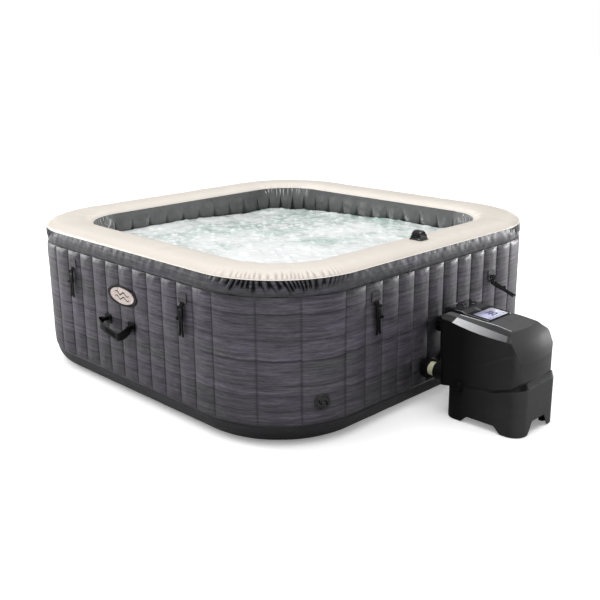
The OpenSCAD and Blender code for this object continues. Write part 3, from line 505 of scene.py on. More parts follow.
# The inner wall's fold colour is painted shade in its creases and also darkens it towards the water; its
# ridge colour is a painted highlight.
INNER_VINYL = vinyl("inner_vinyl_grey", (0.118, 0.118, 0.120), 0.30, 0.08, 0.001, (0.004, 0.004, 0.005),
                    grey(0.95), Coat_Weight=0.55, Coat_Roughness=0.08)
FLOOR_VINYL = vinyl("floor_vinyl_grey", (0.10, 0.12, 0.14), 0.45)
SHEET_VINYL = vinyl("ground_sheet_vinyl", (0.026, 0.026, 0.028), 0.55, 0.2)
WEB_VINYL = vinyl("web_vinyl", (0.66, 0.66, 0.62), 0.5)
PATCH_VINYL = patch_print()
VALVE_GREY = moulded("valve_grey", (0.026, 0.027, 0.025), 0.34, Specular_IOR_Level=0.4)
BADGE_CREAM = badge_finish()
BADGE_DARK = vinyl("badge_edge", (0.012, 0.009, 0.009), 0.5, Specular_IOR_Level=0.15)
BLACK_PLASTIC = moulded("black_moulding", (0.0030, 0.0030, 0.0034), 0.45, Specular_IOR_Level=0.12)
PUMP_PLASTIC = pump_finish()
LEDGE_PLASTIC = moulded("pump_ledge_black", (0.0045, 0.0045, 0.005), 0.5, 900.0, 0.0001, 0.2,
                        Specular_IOR_Level=0.16)
GLOSS_BLACK = moulded("gloss_black", (0.004, 0.004, 0.0045), 0.10, 300.0, 0.00002, 0.3, Coat_Weight=0.4)
HANDLE_RUBBER = moulded("handle_rubber", (0.0030, 0.0030, 0.0034), 0.5, 420.0, 0.0002,
                        Specular_IOR_Level=0.10)
SEAL_RUBBER = moulded("seal_rubber", grey(0.010), 0.8, 500.0, 0.0002)
GREY_PLASTIC = moulded("grey_moulding", (0.36, 0.37, 0.39), 0.45)
IVORY_PLASTIC = moulded("ivory_moulding", (0.62, 0.60, 0.44), 0.35, wear=0.1)
WHITE_ACCENT = moulded("white_print", (0.85, 0.86, 0.87), 0.3, wear=0.05)
ICON_GREY = moulded("icon_print", (0.22, 0.22, 0.23), 0.4, wear=0.05)
NAVY_PRINT = moulded("navy_segments", (0.012, 0.012, 0.10), 0.3, wear=0.2)
TRIM_SILVER = trim_finish()
LCD_GLASS = display_finish()
WEBBING = webbing_finish()
STEEL = metal("brushed_steel", (0.62, 0.63, 0.65), 0.3)
MOTOR_METAL = metal("cast_motor_metal", (0.42, 0.43, 0.45), 0.5)
CIRCUIT_GREEN = board_finish()
FILTER_PAPER = paper_finish()
WATER = water_finish()

# ---------------------------------------------------------------- making pieces


def new_piece(name, mesh, body, finishes, replaces=()):
    """An object of this mesh with its finishes, riding on its body, in place of these CAD nodes."""
    piece = bpy.data.objects.new(name, mesh)
    bpy.context.scene.collection.objects.link(piece)
    for finish in finishes:
        mesh.materials.append(finish)
    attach(piece, body)
    if replaces:
        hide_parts(*replaces)
    return piece


def modifier(piece, kind, **settings):
    made = piece.modifiers.new(kind.lower(), kind)
    for name, value in settings.items():
        setattr(made, name, value)
    return made


def soften(piece, width, segments=2, angle=35):
    modifier(piece, "BEVEL", width=width, segments=segments, limit_method="ANGLE",
             angle_limit=math.radians(angle), harden_normals=True)


def apply_modifiers(piece):
    bpy.context.view_layer.update()
    depsgraph = bpy.context.evaluated_depsgraph_get()
    mesh = bpy.data.meshes.new_from_object(piece.evaluated_get(depsgraph), preserve_all_data_layers=True,
                                           depsgraph=depsgraph)
    piece.modifiers.clear()
    piece.data = mesh


def grid_mesh(name, points, closed=True, closed_rows=False, flip=False, uv=None, number=None, crease=None,
              ridge=None):
    """A sheet of quads through points[row, column]. closed joins the last column to the first.
    uv: distances of the columns and of the rows, for the perimeter layer. number: flute of each column.
    crease and ridge: how far each point is darkened and how much painted highlight it takes, 0 to 1."""
    rows, columns = points.shape[:2]
    across = columns if closed else columns - 1
    up = rows if closed_rows else rows - 1
    i, j = (a.ravel() for a in np.meshgrid(np.arange(up), np.arange(across), indexing="ij"))
    i2, j2 = (i + 1) % rows, (j + 1) % columns
    order = [3, 2, 1, 0] if flip else [0, 1, 2, 3]
    quads = np.stack([i * columns + j, i * columns + j2, i2 * columns + j2, i2 * columns + j], -1)[:, order]
    mesh = bpy.data.meshes.new(name)
    mesh.from_pydata(points.reshape(-1, 3).tolist(), [], quads.tolist())
    mesh.polygons.foreach_set("use_smooth", np.ones(len(quads), bool))
    if uv is not None:
        u, v = uv
        if closed:
            u = np.append(u, 4 * QUARTER + u[0])
        layer = mesh.uv_layers.new(name="perimeter")
        us = np.stack([u[j], u[j + 1], u[j + 1], u[j]], -1)[:, order]
        vs = np.stack([v[i], v[i], v[i2], v[i2]], -1)[:, order]
        layer.data.foreach_set("uv", np.stack([us, vs], -1).astype(np.float32).ravel())
    if number is not None:
        flutes = mesh.attributes.new("flute", "FLOAT", "FACE")
        flutes.data.foreach_set("value", number[j].astype(np.float32))
    for mark, values in (("crease", crease), ("ridge", ridge)):
        if values is not None:
            folds = mesh.attributes.new(mark, "FLOAT", "POINT")
            values = np.broadcast_to(values, (rows, columns))
            folds.data.foreach_set("value", values.astype(np.float32).ravel())
    mesh.update()
    return mesh


def full_turn(count):
    return [2 * math.pi * k / count for k in range(count)]


def arc(radius, angles, centre=(0.0, 0.0)):
    """Points on a circle at these angles."""
    return [(centre[0] + radius * math.cos(a), centre[1] + radius * math.sin(a)) for a in angles]


def rectangle(half_w, half_h):
    return [(-half_w, -half_h), (half_w, -half_h), (half_w, half_h), (-half_w, half_h)]


class Solid:
    """Closed shapes in one mesh. place moves them all, and finish is the material of what comes next."""

    def __init__(self, place=I4):
        self.bm = bmesh.new()
        self.place = place
        self.finish = 0

    def add(self, points, faces, at=I4):
        made = [self.bm.verts.new(self.place @ at @ Vector(p)) for p in points]
        for face in faces:
            f = self.bm.faces.new([made[k] for k in face])
            f.material_index = self.finish
            f.smooth = True

    def loft(self, sections, at=I4, closed=False, caps=True):
        """Skins a row of equal rings of points."""
        n, count = len(sections[0]), len(sections)
        faces = []
        for i in range(count if closed else count - 1):
            for j in range(n):
                a, b, k = i * n, (i + 1) % count * n, (j + 1) % n
                faces.append((a + j, a + k, b + k, b + j))
        if caps and not closed:
            faces += [tuple(reversed(range(n))), tuple(range((count - 1) * n, count * n))]
        self.add([p for section in sections for p in section], faces, at)

    def box(self, low, high, at=I4):
        (x0, y0, z0), (x1, y1, z1) = low, high
        outline = [(x0, y0), (x1, y0), (x1, y1), (x0, y1)]
        self.layers([(z0, outline), (z1, outline)], at)

    def layers(self, outlines, at=I4):
        """Lofts through flat outlines, each with its height: (z, points)."""
        self.loft([[(x, y, z) for x, y in outline] for z, outline in outlines], at)

    def plate(self, outline, at, edges):
        """A flat patch with a stepped edge: (height, share that the outline has shrunk) pairs."""
        self.layers([(z, [(x * (1 - less), y * (1 - less)) for x, y in outline]) for z, less in edges], at)

    def lathe(self, profile, at=I4, segments=48):
        """Turns (radius, distance) points about the local x axis. A ring if the profile is a closed loop."""
        closed = profile[0] == profile[-1]
        points = profile[:-1] if closed else profile
        turns = full_turn(segments)
        sections = [[(d, r * math.cos(a), r * math.sin(a)) for a in turns] for r, d in points]
        self.loft(sections, at, closed=closed)

    def tube(self, path, radius, at=I4, sides=10):
        """A round bar along a path."""
        self.sweep(path, arc(radius, full_turn(sides)), at)

    def sweep(self, path, section, at=I4, up=Vector((0, 0, 1))):
        """Carries a section, (sideways, upward) points, along a path."""
        path = [Vector(p) for p in path]
        sections = []
        for i, p in enumerate(path):
            tangent = (path[min(i + 1, len(path) - 1)] - path[max(i - 1, 0)]).normalized()
            side = tangent.cross(up).normalized()
            top = side.cross(tangent)
            sections.append([p + side * a + top * b for a, b in section])
        self.loft(sections, at)

    def mesh(self, name):
        bmesh.ops.recalc_face_normals(self.bm, faces=self.bm.faces)
        mesh = bpy.data.meshes.new(name)
        self.bm.to_mesh(mesh)
        self.bm.free()
        return mesh

    def piece(self, name, body, slot, finishes, replaces=(), bevel=0.0, **edges):
        bmesh.ops.remove_doubles(self.bm, verts=self.bm.verts, dist=1e-6)
        piece = new_piece(name, self.mesh(name), body, finishes, replaces)
        if bevel:
            soften(piece, bevel, **edges)


def skin(name, slot, finish, replaced, points, **layers):
    """The sheet that shows of one of the tub's skins, with its thickness behind it."""
    piece = new_piece(name, grid_mesh(name, points, **layers), "tub", [finish], [replaced])
    modifier(piece, "SOLIDIFY", thickness=0.003, offset=-1.0)
    return piece


def mend(mesh, distance, fill=False):
    """Joins the points closer than this. fill closes the holes and turns every face outwards."""
    bm = bmesh.new()
    bm.from_mesh(mesh)
    bmesh.ops.remove_doubles(bm, verts=bm.verts, dist=distance)
    if fill:
        bmesh.ops.holes_fill(bm, edges=[e for e in bm.edges if e.is_boundary])
        bmesh.ops.recalc_face_normals(bm, faces=bm.faces)
    bm.to_mesh(mesh)
    bm.free()
    return mesh


def rounded_outline(width, height, radius, steps=5, centre=(0.0, 0.0)):
    """Points of a rounded rectangle."""
    points = []
    for k, (sx, sy) in enumerate(((1, 1), (-1, 1), (-1, -1), (1, -1))):
        for i in range(steps + 1):
            a = (k + i / steps) * math.pi / 2
            points.append((centre[0] + sx * (width / 2 - radius) + radius * math.cos(a),
                           centre[1] + sy * (height / 2 - radius) + radius * math.sin(a)))
    return points


def wall_frame(side, along=0.0, height=0.0):
    """Frame on a wall: x out of the wall from its crown line, y along it, z up. Side 0 is +X and 3 is -Y."""
    return Matrix.Rotation(side * math.pi / 2, 4, "Z") @ Matrix.Translation((WALL_X, along, height))


def placed(x=0.0, y=0.0, z=0.0, degrees=0.0, axis="Z"):
    """A frame at this point, turned about one of its own axes. A lathe turns about the frame's x axis."""
    return Matrix.Translation((x, y, z)) @ Matrix.Rotation(math.radians(degrees), 4, axis)


def centre_of(node):
    """The middle of a CAD node's box."""
    return [(low + high) / 2 for low, high in zip(*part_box(node))]


# ---------------------------------------------------------------- the tub's skins

CORNER_COLUMNS = 320
STRAIGHT_COLUMNS = 90


def fine_columns():
    """Parameters of columns round the tub, closer together in the corners."""
    quarter = np.concatenate([
        np.linspace(0, STRAIGHT_SHARE, STRAIGHT_COLUMNS, endpoint=False),
        np.linspace(STRAIGHT_SHARE, 1 - STRAIGHT_SHARE, CORNER_COLUMNS, endpoint=False),
        np.linspace(1 - STRAIGHT_SHARE, 1, STRAIGHT_COLUMNS, endpoint=False)])
    return np.concatenate([quarter + k for k in range(4)])


def puckers(distance, seed, spacing):
    """Gathers of the vinyl at this distance along the outline: 0 in the valleys to 1 on the ridges."""
    rng = np.random.default_rng(seed)
    phase = distance / spacing + 0.55 * np.sin(distance / spacing * 0.73 + rng.uniform(0, 6)) \
        + 0.35 * np.sin(distance / spacing * 0.31 + rng.uniform(0, 6))
    return np.abs(np.sin(math.pi * phase)) ** 0.7


def swept_skin(u, half, radius, offsets, heights):
    """Points[row, column] of a skin with these offsets out of a rounded square and these heights."""
    plan, normal = square_ring(u, half, radius)
    flat = plan[None] + normal[None] * offsets[..., None]
    return np.concatenate([flat, np.broadcast_to(heights, offsets.shape)[..., None]], -1)


def outer_wall_skin():
    distance, share, number = flute_columns(16)
    u = distance / QUARTER
    ends = 0.055
    rise = np.concatenate([ends * (1 - np.cos(np.linspace(0, math.pi / 2, 12))),
                           np.linspace(ends, FLUTE_TOP - BASE_R - ends, 20)[1:-1],
                           (FLUTE_TOP - BASE_R) - ends * (1 - np.cos(np.linspace(math.pi / 2, 0, 12)))])
    z = BASE_R + rise
    to_end = np.minimum(np.minimum(rise / ends, (rise[-1] - rise) / (ends * 0.45)), 1)
    pillow = np.sqrt(1 - (1 - to_end) ** 2)[:, None]
    to_top = (rise[-1] - rise)[:, None]
    pillow = np.where(to_top < ends, np.maximum(pillow, 0.30), pillow)
    bulge = (4 * share * (1 - share))[None]
    flat_end = 1 + 0.6 * (1 - pillow)
    slack = 0.0007 * ripple(u[None], z[:, None], 3, (0.03, 0.12))
    to_weld = np.minimum(share, 1 - share)[None] * FLUTE_PITCH
    groove = 0.0016 * np.exp(-(to_weld / 0.0022) ** 2) * pillow
    swell = 0.22 + 0.78 * bulge ** (0.86 * flat_end)
    offsets = (FLUTE_CROWN - 0.0008) * pillow * swell - groove + slack * bulge * pillow
    # Dark weld lines, and painted shade along the flute tops under the band.
    weld_and_top_shade = np.maximum(0.45 * np.exp(-(to_weld / 0.0026) ** 2), 0.62 * np.exp(-(to_top / 0.016) ** 2))
    points = swept_skin(u, HALF, CORNER_R, offsets, z[:, None])
    piece = skin("wall_panels", "wall_print", WALL_PRINT, "outer_wall", points, uv=(distance, z),
                 number=number, crease=weld_and_top_shade)


def upper_band_skin():
    u = fine_columns()
    t = np.linspace(0, 1, 40)
    z = FLUTE_TOP + (SEAM_Z - FLUTE_TOP) * t
    down = (SEAM_Z - z)[:, None]
    corner = smooth_step(corner_share(u), 0.05, 0.75)[None]
    reach = (0.020 + 0.040 * corner) * (0.85 + 0.22 * ripple(u, 0 * u, 51, (0.04, 0.15)))[None]
    lean = 0.55 * np.sin(u * QUARTER / 0.075)[None] * down
    fold = puckers(u[None] * QUARTER + lean, 5, 0.0225)
    to_seam = 1 - smooth_step(down, 0.45 * reach, reach)
    crown = 0.0045 * np.sin(t * math.pi)[:, None] ** 0.8
    offsets = crown + 0.015 * (fold - 0.75) * to_seam * (0.06 + 0.94 * corner) \
        + 0.0006 * ripple(u[None], z[:, None], 8, (0.04, 0.2))
    open_part = smooth_step(down / reach, 0.05, 0.55)
    # Painted shade in the valleys of the gathers under the seam, carried as the crease mark.
    valley = 1 - smooth_step(fold, 0.35 + 0.40 * open_part, 0.85 + 0.25 * open_part)
    depth = 1.15 * valley * to_seam * corner * (0.62 + 0.38 * smooth_step(down / reach, 0.1, 0.4))
    points = swept_skin(u, HALF, CORNER_R, offsets, z[:, None])
    skin("wall_band", "dark_band", BAND_PRINT, "upper_band", points, uv=(u * QUARTER, z),
         crease=np.clip(depth, 0, 1))


def rim_skin():
    u = fine_columns()
    v = 0.5 - 0.5 * np.cos(np.linspace(0, math.pi, 34))
    outer, _ = square_ring(u, HALF, CORNER_R)
    inner, _ = square_ring(u, INNER_HALF, INNER_R)
    plan = outer[None] * (1 - v)[:, None, None] + inner[None] * v[:, None, None]
    crown = RIM_TOP - SEAM_Z - 0.0006
    height = (1 - np.abs(2 * v - 1) ** 2.9) ** 0.66
    corner = smooth_step(corner_share(u), 0.10, 0.70)[None]
    reach = 0.046 * (1 + 0.30 * ripple(u, 0 * u, 52, (0.03, 0.12)))[None]
    to_outer = 1 - smooth_step(v[:, None] * 0.2, 0.15 * reach, reach)
    to_inner = 1 - smooth_step((1 - v[:, None]) * 0.2, 0.1 * reach, 0.8 * reach)
    outer_fold, inner_fold = puckers(u * QUARTER, 5, 0.0225)[None], puckers(u * QUARTER, 12, 0.017)[None]
    folds = (outer_fold - 0.8) * to_outer * (0.10 + 0.90 * corner)
    folds += 0.8 * (inner_fold - 0.8) * to_inner * (0.1 + 0.9 * corner)
    z = SEAM_Z + crown * height[:, None] + 0.0085 * folds * np.sqrt(height)[:, None] \
        + 0.0006 * ripple(u[None], v[:, None] * 0.2, 21, (0.08, 0.5))
    z = np.clip(z, SEAM_Z, RIM_TOP)
    # Painted shade in the wrinkle valleys near the outer seam at the corners, and along the outer edge where
    # the cushion curves down.
    shade = 0.72 * (1 - smooth_step(outer_fold, 0.2, 0.95)) * to_outer * corner \
        + 0.24 * (1 - smooth_step(v[:, None] * 0.2, 0.0, 0.050))
    points = np.concatenate([plan, z[..., None]], -1)
    piece = skin("rim_cushion", "rim_vinyl", RIM_VINYL, "rim_top", points, crease=np.clip(shade, 0, 1))


def seam_bead(name, half, radius, off, z, width, height, finish):
    """A welded seam flange: a thin round-edged strip that runs round the tub."""
    u = fine_columns()[::3]
    turns = np.linspace(0, 2 * math.pi, 10, endpoint=False)
    offsets = off + width / 2 * np.cos(turns)[:, None] + 0 * u[None]
    heights = z + height / 2 * np.sin(turns)[:, None] + 0 * u[None]
    mesh = grid_mesh(name, swept_skin(u, half, radius, offsets, heights), closed_rows=True, flip=True)
    new_piece(name, mesh, "tub", [finish])


def base_skin():
    u = fine_columns()[::2]
    angle = np.linspace(0, math.pi / 2, 20)
    tail = 0.004
    offset = np.append(-BASE_R + BASE_R * np.cos(angle), -BASE_R - tail)
    z = np.append(BASE_R - BASE_R * np.sin(angle), 0.0002)
    low = smooth_step(np.append(angle, math.pi / 2), 0.0, 0.5)[:, None]
    slack = 0.0009 * ripple(u[None], offset[:, None], 14, (0.05, 0.3)) * low
    offsets = offset[:, None] + (slack - 0.0009 * low) * np.cos(np.append(angle, math.pi / 2))[:, None]
    points = swept_skin(u, HALF, CORNER_R, offsets, np.maximum(z, 0.0002)[:, None])
    skin("base_curve", "dark_band", BASE_PRINT, "base_band", points, flip=True,
         uv=(u * QUARTER, -BASE_R * np.append(angle, math.pi / 2)))


def inner_wall_skin():
    u = fine_columns()
    z = np.concatenate([np.linspace(FLOOR_Z, 0.50, 12), np.linspace(0.51, SEAM_Z, 48)])
    down = (SEAM_Z - z)[:, None]
    share = (u * 14 + 0.5) % 1.0
    to_crease = np.minimum(share, 1 - share)[None]
    below = smooth_step(down, 0.018, 0.085)
    bulge = (4 * share * (1 - share))[None] ** 0.8
    spread = 0.012 + 0.11 * smooth_step(down, 0.045, 0.13)
    crease = np.exp(-(to_crease / spread) ** 2) * smooth_step(down, 0.030, 0.060)
    corner = smooth_step(corner_share(u), 0.2, 0.7)[None]
    folds = puckers(u * QUARTER, 33, 0.019)[None]
    gathers = (folds - 0.6) * np.exp(-(down / 0.050) ** 2) * corner
    belly = (0.003 + 0.013 * corner) * np.sin(np.clip(down / 0.085, 0, 1) * math.pi / 2)
    belly = belly * smooth_step(z, 0.36, 0.52)[:, None]
    offsets = -belly - 0.006 * bulge * below + 0.006 * crease \
        - 0.0042 * gathers * smooth_step(down, 0.0, 0.01) \
        - 0.001 * ripple(u[None], z[:, None], 41, (0.03, 0.2)) * below
    points = swept_skin(u, INNER_HALF + SKIN, INNER_R + SKIN, offsets - SKIN, z[:, None])
    # The crease mark: painted shade in the pleats' creases, and the wall darker towards the water.
    darker_low = 0.80 * smooth_step(down, 0.060, 0.128)
    # ridge: painted highlight streaks on the gathers' ridges near the top of the corners.
    glint_gate = smooth_step(ripple(u, 0 * u, 77, (0.015, 0.05)), 0.1, 0.9)[None] * corner ** 3
    length = 0.026 + 0.014 * ripple(u, 0 * u, 78, (0.01, 0.04))[None]
    fade = 1 - smooth_step(down, 0.5 * length, 1.6 * length)
    ridge = 0.95 * smooth_step(folds, 0.80, 0.96) * glint_gate * fade * smooth_step(down, 0.002, 0.008)
    piece = skin("inner_wall_liner", "inner_vinyl", INNER_VINYL, "inner_wall", points, flip=True,
                 crease=np.clip(0.95 * crease + darker_low, 0, 1), ridge=np.clip(ridge, 0, 1))


def disc_points(half, radius, columns, rows, height):
    """Points[row, column] of a sheet that fills a rounded square, from its edge to the middle."""
    u = np.arange(columns) / columns * 4
    edge, _ = square_ring(u, half, radius)
    share = np.linspace(1, 0.002, rows)
    plan = edge[None] * share[:, None, None]
    return np.concatenate([plan, height(plan[..., 0], plan[..., 1])[..., None]], -1)


def closed_disc(name, top, bottom_z):
    """A solid under a disc_points sheet: the sheet, its side and a flat bottom."""
    edge = top[0].copy()
    edge[:, 2] = bottom_z
    middle = edge * np.array([0.002, 0.002, 1.0])
    return mend(grid_mesh(name, np.concatenate([middle[None], edge[None], top])), 1e-5, fill=True)


def floor_pieces():
    def quilted(x, y):
        pillow = np.abs(np.sin(x / 0.2 * math.pi) * np.sin(y / 0.2 * math.pi)) ** 0.5
        return FLOOR_Z - 0.003 + 0.003 * pillow

    def creased(x, y):
        return 0.0003 + 0.0006 * (1 + np.sin(x * 21 + np.sin(y * 9)) * np.sin(y * 17 + 2 * np.sin(x * 5)))

    top = disc_points(INNER_HALF - GAP, INNER_R, 260, 70, quilted)
    new_piece("floor_liner_quilted", closed_disc("floor_liner_quilted", top, 0.0045), "tub",
              [FLOOR_VINYL], ["floor_liner"])
    edge = BASE_R + 0.001
    sheet = disc_points(HALF - edge, CORNER_R - edge, 240, 60, creased)
    new_piece("ground_sheet", closed_disc("ground_sheet", sheet, SKIN), "tub",
              [SHEET_VINYL], ["base_sheet"])


def water_body():
    """The water itself, whipped up by the air jets."""
    def waves(x, y):
        z = np.empty(x.shape)
        for index in np.ndindex(x.shape):
            p = Vector((float(x[index]), float(y[index]), 0.0))
            swell = noise.noise(p * 4.2) * 0.008
            boil = abs(noise.noise(p * 9.0 + Vector((5, 1, 2)))) * 0.007
            spray = max(0.0, noise.noise(p * 30.0 + Vector((1, 7, 4)))) ** 2 * 0.016
            from_back = (p - Vector((-0.62, 0.62, 0))).length
            heap = 0.026 * min(1.0, max(0.0, (from_back - 0.25) / 0.45))
            z[index] = WATER_Z + heap + swell + boil + spray
        return z

    top = disc_points(INNER_HALF - 0.012, INNER_R - 0.012, 420, 110, waves)
    new_piece("foaming_water", closed_disc("foaming_water", top, FLOOR_Z + 0.002), "tub", [WATER])


outer_wall_skin()
upper_band_skin()
rim_skin()
seam_bead("rim_seam_outer", HALF, CORNER_R, 0.0016, SEAM_Z + 0.0004, 0.0058, 0.0026, SEAM_VINYL)
seam_bead("rim_seam_inner", INNER_HALF, INNER_R, -0.0008, SEAM_Z + 0.0004, 0.0040, 0.0030, SEAM_VINYL)
seam_bead("base_seam", HALF, CORNER_R, 0.0004, BASE_R, 0.0050, 0.0040, SHEET_VINYL)
base_skin()
inner_wall_skin()
floor_pieces()
water_body()

# ---------------------------------------------------------------- badge and cradle


def flute_bulge(along):
    """How far the flutes stand out, this far along a wall from its middle, where a flute's crown is."""
    share = (along / FLUTE_PITCH + 0.5) % 1.0
    return FLUTE_CROWN * (0.22 + 0.78 * (4 * share * (1 - share)) ** 0.86)


def badge():
    """A blank oval patch with a dark border and a plain wave mark, pressed onto the flutes."""
    low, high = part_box("badge")
    centre_x, _, centre_z = centre_of("badge")
    half_w, half_h = (high.x - low.x) / 2, (high.z - low.z) / 2

    def on_flutes(x, z, proud):
        return (x, -(HALF + 0.70 * FLUTE_CROWN + 0.30 * float(flute_bulge(x)) + proud), z)

    solid = Solid()
    turns = full_turn(96)
    for finish, outer, inner, proud in ((0, 1.0, 0.80, 0.0022), (1, 0.84, 0.0, 0.0016)):
        solid.finish = finish
        sections = []
        for share in np.linspace(outer, max(inner, 0.01), 12 if inner else 20):
            level = proud if share < outer else proud - 0.0012
            sections.append([on_flutes(centre_x + half_w * share * math.cos(a),
                                       centre_z + half_h * share * math.sin(a), level) for a in turns])
        solid.loft(sections, caps=not inner)
    solid.finish = 0
    for row in (-0.010, 0.010):
        top, bottom = [], []
        for k in range(41):
            x = centre_x + (k / 40 - 0.5) * half_w
            z = centre_z + row + 0.0065 * math.sin(k / 40 * 4 * math.pi)
            thick = 0.0022 * math.sin(math.pi * min(1, k / 40)) ** 0.5 + 0.0004
            top.append(on_flutes(x, z + thick, 0.0025))
            bottom.append(on_flutes(x, z - thick, 0.0025))
        solid.add(top + bottom, [(k, k + 1, 42 + k, 41 + k) for k in range(40)])
    solid.piece("badge_blank", "tub", "badge_print", [BADGE_DARK, BADGE_CREAM], ["badge"])


def cradle():
    """The rest for the control panel: a barrel-shaped block with a spread foot on the rim."""
    low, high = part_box("panel_cradle")
    x, y, _ = centre_of("panel_cradle")
    length, width, height = (b - a for a, b in zip(low, high))
    solid = Solid(placed(x, y, low.z))
    foot_h = 0.007
    foot = [(0.0, 0.0), (0.0030, 0.0), (0.0045, 0.0025), (foot_h, 0.0060)]
    solid.layers([(z, rounded_outline(length - 2 * inset, width - 2 * inset, 0.010 - inset * 0.5))
                  for z, inset in foot])
    sections = []
    half_l = length / 2 - 0.0065
    for k in range(13):
        x = -half_l + 2 * half_l * k / 12
        end = 1 - max(0.0, abs(x) / half_l - 0.72) ** 2 * 3.2
        ring = []
        for i in range(17):
            a = math.pi * i / 16
            ring.append((x, -(width / 2 - 0.0065) * math.cos(a) * (0.92 + 0.08 * end),
                         foot_h - 0.002 + (height - foot_h + 0.002) * math.sin(a) ** 0.72 * end))
        sections.append(ring)
    solid.loft(sections)
    for y in (-0.009, 0.009):
        solid.box((-0.018, y - 0.0012, height - 0.0032), (0.018, y + 0.0012, height - 0.0004))
    solid.piece("panel_rest", "tub", "black_plastic", [GLOSS_BLACK], ["panel_cradle"], bevel=0.0016,
                segments=3)


badge()
cradle()

# ---------------------------------------------------------------- valves on the tub

VALVE_TURN = -22                                 # degrees round the front corner, from the +X wall


def valve_frame():
    return placed(STRAIGHT, -STRAIGHT, centre_of("air_valve_body")[2], VALVE_TURN)


def air_valve():
    face = CORNER_R + 0.016
    back = CORNER_R + 0.0112
    body = Solid(valve_frame())
    body.lathe([(0.026, back), (0.0325, back), (0.033, back + 0.0012), (0.0315, face - 0.0006), (0.030, face),
                (0.0275, face), (0.0262, face - 0.0012), (0.026, back)], segments=72)
    body.lathe([(0.017, CORNER_R - 0.020), (0.025, CORNER_R - 0.020), (0.025, back + 0.0012),
                (0.0262, back + 0.0012), (0.0262, back + 0.0004), (0.017, back + 0.0004),
                (0.017, CORNER_R - 0.020)])
    body.piece("air_valve_ring", "tub", "black_plastic", [VALVE_GREY], ["air_valve_body"], bevel=0.0004)

    cap = Solid(valve_frame())
    top = face + 0.0032
    cap.lathe([(0.0002, back + 0.002), (0.0248, back + 0.002), (0.0248, face - 0.0005),
               (0.0225, face + 0.0012), (0.012, face + 0.0022), (0.0002, face + 0.0025)], segments=72)
    cap.lathe([(0.0002, face + 0.001), (0.0085, face + 0.001), (0.008, face + 0.0062),
               (0.0065, face + 0.0068), (0.0002, face + 0.0068)])
    cap.finish = 1
    for side in (0, math.pi):
        path = [(top, 0.020 * math.sin(a + side) * (a / 2.2), 0.020 * math.cos(a + side) * (a / 2.2))
                for a in np.linspace(0.5, 2.2, 16)]
        cap.sweep(path, [(-0.0034, -0.0016), (0.0034, -0.0016), (0.0026, 0.0016), (-0.0026, 0.0016)],
                  up=Vector((1, 0, 0)))
    hinge_z = -0.029
    cap.finish = 0
    cap.tube([(face + 0.0025, -0.006, hinge_z), (face + 0.0025, 0.006, hinge_z)], 0.0016)
    cap.box((face + 0.0008, -0.005, hinge_z), (face + 0.0032, 0.005, -0.020))
    cap.piece("air_valve_lid", "air_valve_cap", "black_plastic", [VALVE_GREY, BLACK_PLASTIC],
              ["air_valve_cap"], bevel=0.0004)


def drain_cap():
    low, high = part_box("drain_cap")
    radius = (high.z - low.z) / 2
    near, far = -high.x, -low.x
    solid = Solid(placed(z=centre_of("drain_cap")[2], degrees=180))
    profile = ((near, radius - 0.002), (near + 0.001, radius - 0.0005), (far - 0.003, radius - 0.0005),
               (far - 0.0008, radius - 0.0022), (far, radius - 0.005), (far - 0.0015, radius - 0.008))
    ribs, depth = 18, 0.0012
    grooves = [(2 * math.pi * k / (4 * ribs), depth * (k % 4 > 1)) for k in range(4 * ribs)]
    solid.loft([[(d, (r - groove) * math.cos(a), (r - groove) * math.sin(a)) for a, groove in grooves]
                for d, r in profile])
    solid.box((far - 0.002, -0.003, -0.014), (far - 0.0002, 0.003, 0.014))
    solid.piece("drain_screw_cap", "drain_cap", "black_plastic", [BLACK_PLASTIC], ["drain_cap"], bevel=0.0005)


air_valve()
drain_cap()

# ---------------------------------------------------------------- clips and straps

CLIP_OFFSET = 0.410                              # from the wall's middle
CLIP_Z = 0.525
CLIP_X = 0.014                                   # from the wall to the middle of a clip's bar
CLIP_BAR_R = 0.0025
STRAP_W = 0.022
PATCH_W, PATCH_H = 0.052, 0.044                  # the patches under the straps and the handles
CLIPS = [(side, sign) for side in range(4) for sign in (-1, 1)]
LOW_CLIP, LOW_CLIP_Z, LOW_CLIP_TILT = 1, 0.455, 70      # hangs from a longer loop, out from the wall


def clip_frame(i):
    """Frame on the wall at the height of clip i's bar."""
    side, sign = CLIPS[i]
    return wall_frame(side, sign * CLIP_OFFSET, LOW_CLIP_Z if i == LOW_CLIP else CLIP_Z)


